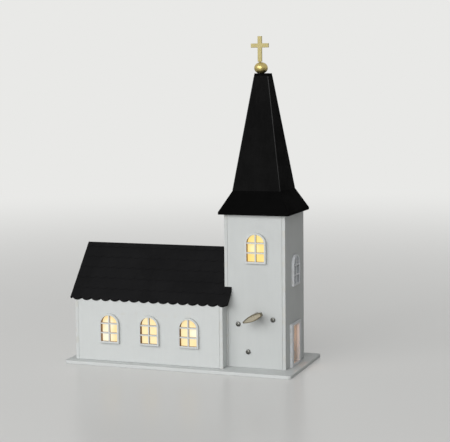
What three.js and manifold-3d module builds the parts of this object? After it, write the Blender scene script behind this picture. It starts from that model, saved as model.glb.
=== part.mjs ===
// A small wooden Christmas church: lit nave and tower, black roof and spire, a wind-up music movement.
// Units are millimetres. +X runs along the nave toward the tower, +Y to the back, +Z up.
// The origin is the centre of the base plate's underside.
import * as THREE from "three";
import { mergeVertices } from "three/addons/utils/BufferGeometryUtils.js";
import Module from "manifold-3d";

const wasm = await Module();
wasm.setup();

// Driving dimensions
const GLUE = 0.1; // space left between two glued faces
const FREE = 0.3; // space left round a part that turns or slides
const WALL = 3.5; // wall boards
const PANEL = 3; // roof, skirt and spire boards

const BASE = { length: 254.2, width: 113.2, thickness: 3.6, corner: 4 };
const NAVE = { left: -118.1, right: 50.5, half: 45.5 };
const ROOF = {
  ridge: 125.9, eaveHalf: 48.7, eaveZ: 70.4, left: -122.6, right: 56.5,
  pitch: 11.06, scallopDepth: 2.3, valley: -109.9, // the eave's scallops, and where one of them ends
};
const TOWER = { left: 48.7, right: 114.7, half: 33, top: 163 };
const SKIRT = { bottom: 37.9, fascia: 2.6, top: 25.9, z0: 163.2, z1: 187.1 };
const SPIRE = { top: 7.2, z1: 307.4, cap: 2.9 };
const TOPPER = { ball: -2.3, cross: -3.4 }; // how far they stand off the spire's axis
const BALL = { radius: 7.1, height: 11.4, seat: 0.7, pin: 1.1, pinLength: 8 };
const CROSS = { neck: 0.5, height: 26.1, drop: 7.4, arm: 4.3, span: 19.2, post: 4.5, thick: 2, tang: 4.5 };
const WINDOW = {
  half: 11.3, height: 31.9, proud: 3, leg: 1.9, foot: 2.1, bar: 1.6, cross1: 11.1, cross2: 21.3,
  barDepth: 2.2,
  lap: 1.2, // the frame's hold on the wall round the hole behind it
};
const NAVE_WINDOWS = [-77.4, -31.6, 13.1]; // centres along X
const TOWER_WINDOWS = { front: 83.4, side: -1.1 }; // centres along X and along Y
const SILL = { nave: 23.3, tower: 113.2, side: 87.7 }; // heights of the frames' undersides
const DOOR = { middle: -3.4, half: 16.3, height: 48.9, opening: 9.9, sill: 6.6, top: 46.3, proud: 3 };
const FILM = 0.5;

// Music movement: p runs along its two upper screws, q down the bedplate, d into the tower from the wall
const MUSIC = {
  x: 63.4, z: 49.2, tilt: 9.5, // first screw, and how far the movement is turned
  screws: [[0, 0], [38.25, 0], [5.8, 30.1]],
  arbor: [23.1, -6.5],
  plate: 2, left: -4.5, right: 42.2, upper: -5, lower: 35.2, lobe: 13.6,
};
const BEDPLATE = {
  notch: 9, step: 5, // corner taken off where the plate would reach the tower's right wall
  seat: { inset: 1, end: 8.4, q0: 8, q1: 28.6, top: 9.4 },
  bearing: { half: 3, top: 13 },
  boss: { radius: 3.4, top: 8.2 },
  thread: { radius: 1.15, from: 5.4, to: 12 },
};
const SCREW = { head: 2.6, headHeight: 1.7, shank: 1.3, depth: 7 };
const CROWN = { teeth: 36, radius: 10.3, inner: 8.9, outer: 11.9, drum: 8.6, drumEnd: 15.5 };
const DRIVEN = { teeth: 12 }; // pinion on the pinned cylinder
const CYLINDER = {
  depth: 10.2, radius: 5.2, pin: 0.5, q0: 7.6, q1: 29.4, shaft: 1.1, wheelTeeth: 36, wheel: 7,
};
const FLY = { teeth: 12, slack: 0.1, shaft: 0.8, blade: 3.2, q0: 9, q1: 26 };
const COMB = { teeth: 18, pitch: 1.2, gap: 0.26, thick: 1.2, back: -1.5, root: 8, tip: 17 };
const COMB_SCREWS = [[2.6, 13], [2.6, 23.6]];
const ARBOR = { radius: 1.6, front: 48.7 };
const KEY = {
  tilt: 26, length: 21.6, thick: 6.6, offset: -1.3, depth: 5.5, rim: 0.9, dish: 1.2, hub: 3.5, collar: 0.4,
  front: 50, back: 35.2,
};

// Battery box in the nave's floor
const CELL = { radius: 7.1, length: 49.2, nub: 1, nubRadius: 2.7, y: 7.5 };
const BOX = {
  x0: -57.5, x1: -6.5, wall: 1.6, half: 15.3, flange: 2, flangeX0: -82, flangeX1: 16, flangeHalf: 25,
};
const LID = { x0: -59.6, x1: -4.2, half: 19.3, thick: 1.6, clear: 0.2, rail: 1.1 };
const CUT = { x0: -78, x1: 12, half: 21.6 };
const SWITCH = { x: 4, knob: 3.4, travel: 6, slotHalf: 5 };
const LAMPS = { half: 1.8, tall: 2.4, nave: [-18, -6, 6, 18], tower: [-8, 8], edge: 6, board: 1.6 };

// Values that follow from them
const FLOOR = BASE.thickness + GLUE; // underside of everything that stands on the base
const SLOPE = Math.atan2(ROOF.ridge - ROOF.eaveZ, ROOF.eaveHalf);
const ROOF_DROP = PANEL / Math.cos(SLOPE); // roof thickness measured straight down
const ROOF_LENGTH = ROOF.eaveHalf / Math.cos(SLOPE);
const TOWER_X = (TOWER.left + TOWER.right) / 2;
const BALL_FOOT = SPIRE.z1 + GLUE;
const CROSS_FOOT = BALL_FOOT + BALL.height + CROSS.neck;
const LID_Z = FLOOR - LID.clear - LID.thick; // underside of the closed lid
const INNER_FRONT = -TOWER.half + WALL; // inner face of the tower's front wall
const TILT = THREE.MathUtils.degToRad(MUSIC.tilt);
const PINION_RADIUS = (CROWN.radius * DRIVEN.teeth) / CROWN.teeth;
const FLY_RADIUS = (CYLINDER.wheel * FLY.teeth) / CYLINDER.wheelTeeth;
const BEARINGS = [[CYLINDER.q0 - 1.7, CYLINDER.q0 - 0.5], [CYLINDER.q1 + 2.6, CYLINDER.q1 + 4.1]];
const FLY_P = MUSIC.arbor[0] + CYLINDER.wheel + FLY_RADIUS + FLY.slack;

const paint = (color, roughness, metalness = 0) =>
  new THREE.MeshStandardMaterial({ color, roughness, metalness });
const WHITE = paint(0xeceeec, 0.55);
const BLACK = paint(0x1b1b1d, 0.6);
const GOLD = paint(0xc9a64e, 0.3, 1);
const NICKEL = paint(0xb9b5ab, 0.32, 1);
const STEEL = paint(0x9a9c9f, 0.35, 1);
const BRASS = paint(0xb08d46, 0.35, 1);
const FILM_SHEET = paint(0xffe0a0, 0.7);
const PLASTIC = paint(0x202124, 0.5);
const CELL_PAINT = paint(0x2f6f4a, 0.4);
const CIRCUIT = paint(0xf2efe6, 0.5);

const church = new THREE.Group();
church.name = "christmas_church";

/** A closed geometry as a solid that can be joined and cut. */
function solid(geometry) {
  const g = geometry.clone();
  for (const name of Object.keys(g.attributes)) if (name !== "position") g.deleteAttribute(name);
  const merged = mergeVertices(g, 1e-4);
  return new wasm.Manifold(new wasm.Mesh({
    numProp: 3,
    vertProperties: new Float32Array(merged.attributes.position.array),
    triVerts: new Uint32Array(merged.index.array),
  }));
}

/** A solid as flat-shaded geometry. */
function surface(body) {
  const { vertProperties, triVerts } = body.getMesh();
  const g = new THREE.BufferGeometry();
  g.setAttribute("position", new THREE.BufferAttribute(new Float32Array(vertProperties), 3));
  g.setIndex(new THREE.BufferAttribute(new Uint32Array(triVerts), 1));
  const flat = g.toNonIndexed();
  flat.computeVertexNormals();
  return flat;
}

/** Several geometries joined into one. */
const join = (...pieces) => surface(pieces.map(solid).reduce((a, b) => a.add(b)));

/** A geometry with others taken out of it. */
const cut = (piece, ...tools) => surface(tools.map(solid).reduce((a, b) => a.subtract(b), solid(piece)));

/** Add a named piece to a group. The placing function may set the mesh's position and rotation. */
function add(group, name, geometry, material, place = () => {}) {
  const mesh = new THREE.Mesh(geometry, material);
  mesh.name = name;
  place(mesh);
  group.add(mesh);
  return mesh;
}

/** A box between two corners. */
function block(x0, y0, z0, x1, y1, z1) {
  return new THREE.BoxGeometry(x1 - x0, y1 - y0, z1 - z0)
    .translate((x0 + x1) / 2, (y0 + y1) / 2, (z0 + z1) / 2);
}

/** A round bar along Z, from z0 to z1. */
function rod(radius, z0, z1, steps = 20) {
  return new THREE.CylinderGeometry(radius, radius, z1 - z0, steps)
    .rotateX(Math.PI / 2).translate(0, 0, (z0 + z1) / 2);
}

/** A block with eight corners: four below and four above, each list anticlockwise from above. */
function hexahedron(below, above) {
  const corners = [...below, ...above].flat();
  const faces = [0, 2, 1, 0, 3, 2, 4, 5, 6, 4, 6, 7];
  for (let i = 0; i < 4; i++) {
    const j = (i + 1) % 4;
    faces.push(i, j, j + 4, i, j + 4, i + 4);
  }
  const g = new THREE.BufferGeometry();
  g.setAttribute("position", new THREE.Float32BufferAttribute(corners, 3));
  return g.setIndex(faces);
}

/** Points of a round-arched outline: half width, foot, springing line, steps round the arch. */
function arch(half, foot, spring, steps = 16) {
  const points = [[-half, foot], [half, foot]];
  for (let i = 0; i <= steps; i++) {
    const a = (Math.PI * i) / steps;
    points.push([half * Math.cos(a), spring + half * Math.sin(a)]);
  }
  return points;
}

/** A board drawn in XY by its corners, from z0 upward. */
function board(points, thickness, z0 = 0) {
  const shape = new THREE.Shape(points.map(([x, y]) => new THREE.Vector2(x, y)));
  return new THREE.ExtrudeGeometry(shape, { depth: thickness, bevelEnabled: false }).translate(0, 0, z0);
}

/** Stand a board in the XZ plane: its drawn face at y, its thickness toward the front. */
const facingFront = (y) => (mesh) => {
  mesh.rotation.x = Math.PI / 2;
  mesh.position.y = y;
};

/** Stand a board in the YZ plane: its drawn face at x, its thickness toward +X. */
const facingSide = (x) => (mesh) => {
  mesh.rotation.set(Math.PI / 2, 0, Math.PI / 2, "ZYX");
  mesh.position.x = x;
};

/** Height of the roof's underside at a distance from the centre line. */
const underRoof = (y) => ROOF.ridge - ROOF_DROP - Math.tan(SLOPE) * Math.abs(y) - GLUE;

/** Cutting tool for the hole behind a window frame whose foot stands at a height. */
function windowHole(centre, foot) {
  const { half, height, lap } = WINDOW;
  return board(arch(half - lap, foot + lap, foot + height - half), WALL + 2, -1).translate(centre, 0, 0);
}

/** Cutting tool for the doorway in a board of a given thickness. */
function doorway(thickness) {
  const { middle, opening, sill, top } = DOOR;
  const [y0, y1] = [middle - opening, middle + opening];
  return board([[y0, sill], [y1, sill], [y1, top], [y0, top]], thickness + 2, -1);
}

function addBase() {
  const { length, width, thickness, corner } = BASE;
  const points = [];
  [[1, 1], [-1, 1], [-1, -1], [1, -1]].forEach(([sx, sy], quarter) => {
    for (let i = 0; i <= 4; i++) {
      const a = (Math.PI / 2) * (quarter + i / 4);
      points.push([
        sx * (length / 2 - corner) + corner * Math.cos(a),
        sy * (width / 2 - corner) + corner * Math.sin(a),
      ]);
    }
  });
  const opening = block(CUT.x0, -CUT.half, -1, CUT.x1, CUT.half, thickness + 1);
  add(church, "base_plate", cut(board(points, thickness), opening), WHITE);
}

/** One long wall of the nave, with its windows. Its top is bevelled to lie against the roof. */
function addNaveWall(name, side) {
  const x0 = NAVE.left + WALL + GLUE;
  const x1 = NAVE.right - WALL - GLUE;
  const inner = NAVE.half - WALL;
  const [y0, y1] = side < 0 ? [-NAVE.half, -inner] : [inner, NAVE.half];
  const corners = (z0, z1) => [[x0, y0, z0], [x1, y0, z0], [x1, y1, z1], [x0, y1, z1]];
  const wall = hexahedron(corners(FLOOR, FLOOR), corners(underRoof(y0), underRoof(y1)));
  const holes = NAVE_WINDOWS.map((x) => windowHole(x, SILL.nave).rotateX(Math.PI / 2).translate(0, y1, 0));
  add(church, name, cut(wall, ...holes), WHITE);
}

function addGable() {
  const eave = underRoof(NAVE.half);
  const wall = board([
    [-NAVE.half, FLOOR], [NAVE.half, FLOOR], [NAVE.half, eave], [0, underRoof(0)], [-NAVE.half, eave],
  ], WALL);
  add(church, "nave_gable_wall", cut(wall, windowHole(0, SILL.nave)), WHITE, facingSide(NAVE.left));
}

/** What is left of the nave's end wall beside the tower. */
function addEndStrip(name, side) {
  const near = TOWER.half + GLUE;
  const points = [
    [near, FLOOR], [NAVE.half, FLOOR], [NAVE.half, underRoof(NAVE.half)], [near, underRoof(near)],
  ].map(([y, z]) => [side * y, z]);
  add(church, name, board(points, WALL), WHITE, facingSide(NAVE.right - WALL));
}

/** Outline of a roof board laid flat: x along the ridge, y down the slope, with a scalloped eave. */
function roofOutline() {
  const { left, right, pitch, valley, scallopDepth: sag } = ROOF;
  const radius = (pitch * pitch) / 4 / (2 * sag) + sag / 2;
  const eave = (x) => {
    const t = THREE.MathUtils.euclideanModulo(x - valley, pitch) - pitch / 2;
    return [x, ROOF_LENGTH - radius + Math.sqrt(radius * radius - t * t)];
  };
  const step = pitch / 6;
  const points = [eave(left)];
  for (let k = Math.ceil((left - valley) / step + 0.05); valley + k * step < right; k++) {
    points.push(eave(valley + k * step));
  }
  return [[right, 0], [left, 0], ...points, eave(right)];
}

/** One slope of the roof, mitred at the ridge and notched round the tower. */
function addRoof(name, side) {
  const cos = Math.cos(SLOPE);
  const sin = Math.sin(SLOPE);
  const down = new THREE.Vector3(0, side * cos, -sin);
  const out = new THREE.Vector3(0, side * sin, cos);
  const along = new THREE.Vector3().crossVectors(down, out);
  const laid = roofOutline().map(([x, y]) => [x * along.x, y]);
  const place = new THREE.Matrix4().makeBasis(along, down, out).setPosition(0, 0, ROOF.ridge);
  const slab = board(laid, PANEL, -PANEL).applyMatrix4(place);
  const [x0, x1, top] = [ROOF.left - 1, ROOF.right + 1, ROOF.ridge + 1];
  const inFront = block(x0, -ROOF.eaveHalf, 0, x1, GLUE / 2, top);
  const behind = block(x0, -GLUE / 2, 0, x1, ROOF.eaveHalf, top);
  const notch = block(TOWER.left - GLUE, -TOWER.half - GLUE, 0, x1, TOWER.half + GLUE, top);
  add(church, name, cut(slab, side < 0 ? behind : inFront, notch), BLACK);
}

/** Where a point of the movement lies on the tower's front wall: [x, z]. */
function onFront([p, q]) {
  return [
    MUSIC.x + p * Math.cos(TILT) + q * Math.sin(TILT),
    MUSIC.z + p * Math.sin(TILT) - q * Math.cos(TILT),
  ];
}

function addTowerWalls() {
  const x0 = TOWER.left + WALL + GLUE;
  const x1 = TOWER.right - WALL - GLUE;
  const face = board([[x0, FLOOR], [x1, FLOOR], [x1, TOWER.top], [x0, TOWER.top]], WALL);
  const bore = (point, radius, steps) => {
    const [x, z] = onFront(point);
    return rod(radius, -1, WALL + 1, steps).translate(x, z, 0);
  };
  const holes = [
    windowHole(TOWER_WINDOWS.front, SILL.tower),
    ...MUSIC.screws.map((s) => bore(s, SCREW.shank + 0.2, 12)),
    bore(MUSIC.arbor, ARBOR.radius + 0.9, 16),
  ];
  add(church, "tower_front_wall", cut(face, ...holes), WHITE, facingFront(INNER_FRONT));
  add(church, "tower_back_wall", face, WHITE, facingFront(TOWER.half));

  const h = TOWER.half;
  const flank = board([[-h, FLOOR], [h, FLOOR], [h, TOWER.top], [-h, TOWER.top]], WALL);
  add(church, "tower_left_wall", flank, WHITE, facingSide(TOWER.left));
  const right = cut(flank, doorway(WALL), windowHole(TOWER_WINDOWS.side, SILL.side));
  add(church, "tower_right_wall", right, WHITE, facingSide(TOWER.right - WALL));
}

function addDoorSurround() {
  const { middle, half, height, proud } = DOOR;
  const [y0, y1] = [middle - half, middle + half];
  const panel = board([[y0, FLOOR], [y1, FLOOR], [y1, height], [y0, height]], proud);
  add(church, "door_surround", cut(panel, doorway(proud)), WHITE, facingSide(TOWER.right + GLUE));
}

/** A window frame lying flat, its foot on y = 0 and centred on x = 0, with six panes. */
function windowFrame() {
  const { half, height, leg, foot, bar, cross1, cross2, proud, barDepth } = WINDOW;
  const spring = height - half;
  const open = half - leg;
  const z1 = proud - 0.4;
  const z0 = z1 - barDepth;
  const frame = cut(board(arch(half, 0, spring), proud), board(arch(open, foot, spring), proud + 2, -1));
  const upright = block(-bar / 2, foot / 2, z0, bar / 2, height - leg / 2, z1);
  const bars = [cross1, cross2].map((y) =>
    block(-open - leg / 2, y - bar / 2, z0, open + leg / 2, y + bar / 2, z1));
  return join(frame, upright, ...bars);
}

function addWindows() {
  const put = (name, x, y, z, turn) => add(church, name, windowFrame(), WHITE, (mesh) => {
    mesh.rotation.set(Math.PI / 2, 0, THREE.MathUtils.degToRad(turn), "ZYX");
    mesh.position.set(x, y, z);
  });
  NAVE_WINDOWS.forEach((x, i) => put(`window_nave_front_${i + 1}`, x, -NAVE.half - GLUE, SILL.nave, 0));
  NAVE_WINDOWS.forEach((x, i) => put(`window_nave_back_${i + 1}`, x, NAVE.half + GLUE, SILL.nave, 180));
  put("window_gable", NAVE.left - GLUE, 0, SILL.nave, -90);
  put("window_tower_front", TOWER_WINDOWS.front, -TOWER.half - GLUE, SILL.tower, 0);
  put("window_tower_side", TOWER.right + GLUE, TOWER_WINDOWS.side, SILL.side, 90);
}

/** Light-spreading sheets glued inside the walls, behind the windows. */
function addFilms() {
  const lap = 4;
  const reach = WINDOW.half + 2;
  const up = WINDOW.height + lap;
  const x0 = NAVE_WINDOWS[0] - reach;
  const x1 = NAVE_WINDOWS[2] + reach;
  const sheet = (name, ...corners) => add(church, name, block(...corners), FILM_SHEET);
  const y = NAVE.half - WALL - GLUE;
  sheet("nave_front_film", x0, -y, SILL.nave - lap, x1, -y + FILM, SILL.nave + up);
  sheet("nave_back_film", x0, y - FILM, SILL.nave - lap, x1, y, SILL.nave + up);
  const gx = NAVE.left + WALL + GLUE;
  sheet("gable_film", gx, -reach, SILL.nave - lap, gx + FILM, reach, SILL.nave + up);
  const ty = INNER_FRONT + GLUE;
  const { front, side } = TOWER_WINDOWS;
  sheet("tower_front_film", front - reach, ty, SILL.tower - lap, front + reach, ty + FILM, SILL.tower + up);
  const sx = TOWER.right - WALL - GLUE;
  sheet("tower_side_film", sx - FILM, side - reach, SILL.side - lap, sx, side + reach, SILL.side + up);
}

/** Half width of the spire's outside at a height. */
const spireHalf = (z) =>
  SKIRT.top + ((SPIRE.top - SKIRT.top) * (z - SKIRT.z1)) / (SPIRE.z1 - SKIRT.z1);

/** Four mitred boards round the tower's axis. Each row is [half width outside, half width inside, height]. */
function addMitred(group, prefix, rows, material) {
  const corners = ([outer, inner, z]) => [
    [-outer + GLUE, -outer, z], [outer - GLUE, -outer, z],
    [inner - GLUE, -inner, z], [-inner + GLUE, -inner, z],
  ];
  const lengths = rows.slice(1).map((row, i) => hexahedron(corners(rows[i]), corners(row)));
  const panel = join(...lengths);
  ["front", "right", "back", "left"].forEach((side, i) => {
    add(group, `${prefix}_${side}`, panel, material, (mesh) => { mesh.rotation.z = (Math.PI / 2) * i; });
  });
}

function addSkirtAndSpire() {
  const top = new THREE.Group();
  top.position.x = TOWER_X;
  church.add(top);

  const shoulder = SKIRT.z0 + SKIRT.fascia;
  const flare = Math.atan2(SKIRT.bottom - SKIRT.top, SKIRT.z1 - shoulder);
  const flareWidth = PANEL / Math.cos(flare);
  const inside = SKIRT.bottom - flareWidth;
  addMitred(top, "skirt", [
    [SKIRT.bottom, inside, SKIRT.z0],
    [SKIRT.bottom, inside, shoulder],
    [SKIRT.top, SKIRT.top - flareWidth, SKIRT.z1],
  ], BLACK);

  const lean = Math.atan2(SKIRT.top - SPIRE.top, SPIRE.z1 - SKIRT.z1);
  const width = PANEL / Math.cos(lean);
  const z0 = SKIRT.z1 + GLUE;
  const z1 = SPIRE.z1 - SPIRE.cap - GLUE;
  addMitred(top, "spire", [
    [spireHalf(z0), spireHalf(z0) - width, z0],
    [spireHalf(z1), spireHalf(z1) - width, z1],
  ], BLACK);

  const deck = inside - GLUE;
  add(top, "tower_deck", block(-deck, -deck, TOWER.top + GLUE, deck, deck, shoulder - GLUE), BLACK);
  addSpireTop(top, width);
}

/** The cap that closes the spire, the flattened ball that stands on it, and the cross. */
function addSpireTop(top, width) {
  const square = (h, z) => [[-h, -h, z], [h, -h, z], [h, h, z], [-h, h, z]];
  const z0 = SPIRE.z1 - SPIRE.cap;
  const plug = spireHalf(z0) - width - 2 * GLUE;
  const cap = join(
    hexahedron(square(spireHalf(z0), z0), square(SPIRE.top, SPIRE.z1)),
    block(-plug, -plug, z0 - 7, plug, plug, z0 + 0.5),
  );
  const bore = rod(BALL.pin + GLUE, z0 - 20, SPIRE.z1 + 5, 16).translate(TOPPER.ball, 0, 0);
  add(top, "spire_cap", cut(cap, bore), BLACK);

  const { radius, height, seat, pin, pinLength } = BALL;
  const tall = (height + seat) / 2;
  const round = new THREE.SphereGeometry(radius, 28, 14).rotateX(Math.PI / 2)
    .scale(1, 1, tall / radius).translate(0, 0, BALL_FOOT + height - tall);
  const below = block(-radius, -radius, BALL_FOOT - 2 * seat, radius, radius, BALL_FOOT);
  const aside = TOPPER.cross - TOPPER.ball;
  const socket = rod(pin + GLUE, CROSS_FOOT - CROSS.tang - FREE, CROSS_FOOT, 16).translate(aside, 0, 0);
  const seated = join(cut(round, below), rod(pin, BALL_FOOT - pinLength, BALL_FOOT + 1, 16));
  add(top, "spire_ball", cut(seated, socket), GOLD, (mesh) => { mesh.position.x = TOPPER.ball; });

  const t = CROSS.thick / 2;
  const summit = CROSS_FOOT + CROSS.height;
  const armTop = summit - CROSS.drop;
  add(top, "spire_cross", join(
    block(-CROSS.post / 2, -t, CROSS_FOOT, CROSS.post / 2, t, summit),
    block(-CROSS.span / 2, -t, armTop - CROSS.arm, CROSS.span / 2, t, armTop),
    rod(pin, CROSS_FOOT - CROSS.tang, CROSS_FOOT + 1, 16),
  ), GOLD, (mesh) => { mesh.position.x = TOPPER.cross; });
}

/** The movement's own group: its X, Y and Z are p, q and d. */
function movementGroup() {
  const c = Math.cos(TILT);
  const s = Math.sin(TILT);
  const group = new THREE.Group();
  group.quaternion.setFromRotationMatrix(new THREE.Matrix4().makeBasis(
    new THREE.Vector3(c, 0, s), new THREE.Vector3(s, 0, -c), new THREE.Vector3(0, 1, 0)));
  group.position.set(MUSIC.x, INNER_FRONT, MUSIC.z);
  church.add(group);
  return group;
}

/** A round bar along d, between two depths, centred on a point of the bedplate. */
const post = ([p, q], radius, d0, d1, steps = 20) => rod(radius, d0, d1, steps).translate(p, q, 0);

/** A round bar along q at the cylinder's depth. */
const shaft = (p, radius, q0, q1, steps = 20) =>
  new THREE.CylinderGeometry(radius, radius, q1 - q0, steps).translate(p, (q0 + q1) / 2, CYLINDER.depth);

/** Toothed disc along q, with a tooth toward -d when phase is 0. The phase counts in teeth toward +p. */
function toothed(p, teeth, root, tip, widthRoot, widthTip, q0, q1, phase) {
  const points = [];
  const step = (2 * Math.PI) / teeth;
  for (let i = 0; i < teeth; i++) {
    const middle = (i + phase) * step;
    [[root, -widthRoot], [tip, -widthTip], [tip, widthTip], [root, widthRoot]].forEach(([r, w]) => {
      const a = middle + w / 2 / r;
      points.push([r * Math.sin(a), -r * Math.cos(a)]);
    });
  }
  return board(points, q1 - q0).rotateX(Math.PI / 2).translate(p, q1, CYLINDER.depth);
}

function addBedplate(group) {
  const { left, right, upper, lower, lobe, arbor, plate, screws } = MUSIC;
  const { notch, step, seat, bearing, boss, thread } = BEDPLATE;
  const cornerCut = [[right, lower - notch], [right - step, lower]];
  const flat = board([[left, upper], [right, upper], ...cornerCut, [left, lower]], plate, GLUE);
  const low = plate - 0.5;
  const [ax] = arbor;
  const whole = join(
    flat,
    post(arbor, lobe, GLUE, plate + GLUE, 40),
    block(left + seat.inset, seat.q0, low, seat.end, seat.q1, seat.top),
    ...BEARINGS.map(([q0, q1]) => block(ax - bearing.half, q0, low, ax + bearing.half, q1, bearing.top)),
    ...screws.map((s) => post(s, boss.radius, GLUE, boss.top)),
  );
  add(group, "movement_bedplate", cut(
    whole,
    post(arbor, ARBOR.radius + 0.6, -1, plate + 1),
    ...screws.map((s) => post(s, SCREW.shank + 0.15, -1, SCREW.depth + 0.4, 16)),
    ...COMB_SCREWS.map((s) => post(s, thread.radius, thread.from, thread.to, 12)),
    shaft(arbor[0], CYLINDER.shaft + FREE, BEARINGS[0][0] - 3, BEARINGS[1][1] + 3),
  ), BRASS);
}

function addBarrelAndKey(group) {
  const { teeth, radius, inner, outer, drum, drumEnd } = CROWN;
  const pitchPlane = CYLINDER.depth - PINION_RADIUS;
  const root = pitchPlane - 0.75;
  const tip = pitchPlane + 0.45;
  const wedge = (w, z) => [
    [inner, -w * inner, z], [outer, -w * outer, z], [outer, w * outer, z], [inner, w * inner, z],
  ];
  const tooth = hexahedron(wedge(0.36 / radius, root - 0.2), wedge(0.22 / radius, tip));
  const step = (2 * Math.PI) / teeth;
  const ringOfTeeth = Array.from({ length: teeth }, (_, i) =>
    tooth.clone().rotateZ(Math.PI / 2 + (i + 0.5) * step));
  const barrel = cut(
    join(rod(outer, 2.7, root, 48), rod(drum, 3, drumEnd, 40), ...ringOfTeeth),
    rod(ARBOR.radius + GLUE, -5, 30),
  );
  add(group, "spring_barrel", barrel, BRASS, (mesh) => mesh.position.set(...MUSIC.arbor, 0));
  const front = -(ARBOR.front + INNER_FRONT);
  add(group, "winding_arbor", post(MUSIC.arbor, ARBOR.radius, front, drumEnd + 0.8), STEEL);
}

/** Leaf-shaped outline of the key's grip: pointed at the left, blunt at the right. */
function leaf(length, thick, inset) {
  const steps = 12;
  const half = length / 2 - inset;
  const t = thick / 2 - inset;
  const lower = Array.from({ length: steps + 1 }, (_, i) => {
    const u = i / steps;
    return [half * (2 * u - 1), -(0.12 + 0.88 * Math.sin(Math.PI * (0.05 + 0.8 * u))) * t];
  });
  return [...lower, ...lower.map(([x, y]) => [x, -y]).reverse()];
}

/** The winding key: a leaf-shaped grip with a dished front, on a hub that holds the arbor. */
function addKey() {
  const { length, thick, offset, depth, rim, dish, hub, collar, front, back, tilt } = KEY;
  const long = front - back;
  const grip = cut(
    board(leaf(length, thick, 0), depth, long - depth),
    board(leaf(length, thick, rim), dish + 1, long - dish),
  ).translate(offset, 0, 0);
  const bore = rod(ARBOR.radius + GLUE, -1, long + 1);
  const key = cut(join(grip, rod(hub, 0, long - dish - collar, 24)), bore);
  const [x, z] = onFront(MUSIC.arbor);
  add(church, "winding_key", key, NICKEL, (mesh) => {
    mesh.rotation.set(Math.PI / 2, 0, THREE.MathUtils.degToRad(tilt));
    mesh.position.set(x, -back, z);
  });
}

/** Middle of a comb tooth along q. */
const combTooth = (n) => (CYLINDER.q0 + CYLINDER.q1) / 2 + (n - (COMB.teeth - 1) / 2) * COMB.pitch;

function addCylinder(group) {
  const p = MUSIC.arbor[0];
  const { radius, pin, q0, q1, shaft: core, wheelTeeth, wheel, depth } = CYLINDER;
  const pins = [];
  for (let row = 0; row < COMB.teeth; row++) {
    for (let k = 0; k < 2; k++) {
      const angle = THREE.MathUtils.degToRad((row * 83 + k * 167 + 20) % 360);
      pins.push(rod(0.24, radius - 0.6, radius + pin, 4).rotateY(angle).translate(p, combTooth(row), depth));
    }
  }
  add(group, "pinned_cylinder", join(
    shaft(p, radius, q0, q1, 40),
    shaft(p, core, 2.6, BEARINGS[1][1] + 0.5),
    toothed(p, DRIVEN.teeth, PINION_RADIUS - 0.9, PINION_RADIUS + 0.5, 0.85, 0.42, 2.6, 5.1, 0),
    toothed(p, wheelTeeth, wheel - 0.65, wheel + 0.42, 0.62, 0.36, q1 - 0.1, q1 + 1.8, 0),
    ...pins,
  ), BRASS);
}

function addComb(group) {
  const { teeth, pitch, gap, thick, back, root, tip } = COMB;
  const points = [[back, combTooth(teeth - 1) + pitch / 2], [back, combTooth(0) - pitch / 2]];
  for (let n = 0; n < teeth; n++) {
    const a = combTooth(n) - (pitch - gap) / 2;
    const b = combTooth(n) + (pitch - gap) / 2;
    const start = root + (n * 3.2) / teeth;
    points.push([start, a], [tip, a], [tip, b], [start, b]);
  }
  const z0 = CYLINDER.depth - thick / 2;
  const holes = COMB_SCREWS.map((s) => post(s, 1.15, 0, 20, 12));
  add(group, "comb", cut(board(points, thick, z0), ...holes), STEEL);
  const top = z0 + thick + GLUE;
  COMB_SCREWS.forEach((s, i) => {
    const slot = block(s[0] - 3, s[1] - 0.3, top + 0.7, s[0] + 3, s[1] + 0.3, top + 3);
    add(group, `comb_screw_${i + 1}`,
      cut(join(post(s, 2, top, top + 1.3, 16), post(s, 1, 6, top + 0.5, 12)), slot), STEEL);
  });
}

function addGovernor(group) {
  const { teeth, shaft: core, blade, q0, q1 } = FLY;
  const d = CYLINDER.depth;
  const low = MUSIC.plate + 2 * GLUE;
  const side = (a, b) => block(FLY_P - 2.3, a, low, FLY_P + 2.3, b, d + 2.6);
  const foot = block(FLY_P - 2.3, 6.4, low, FLY_P + 4.6, 28.2, low + 1.2);
  const bore = shaft(FLY_P, core + FREE, q0 - 6, q1 + 5);
  add(group, "governor_frame", cut(join(foot, side(6.4, 7.6), side(27, 28.2)), bore), BRASS);
  add(group, "governor_fly", join(
    shaft(FLY_P, core, 5.6, q1 + 5.4, 16),
    block(FLY_P - blade, q0, d - 0.25, FLY_P + blade, q1, d + 0.25),
    toothed(FLY_P, teeth, FLY_RADIUS - 0.62, FLY_RADIUS + 0.4, 0.6, 0.34,
      CYLINDER.q1 + 0.1, CYLINDER.q1 + 1.7, flyPhase()),
  ), BRASS);
}

/** Phase of the fly's pinion that sets a gap against the wheel's tooth on the line of centres. */
function flyPhase() {
  const wheelQuarter = CYLINDER.wheelTeeth / 4; // teeth of the wheel from -d round to +p
  const offset = Math.round(wheelQuarter) - wheelQuarter;
  const pinionQuarter = FLY.teeth / 4; // teeth of the pinion from -d round to -p
  return 0.5 + offset + pinionQuarter - Math.floor(pinionQuarter);
}

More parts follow.
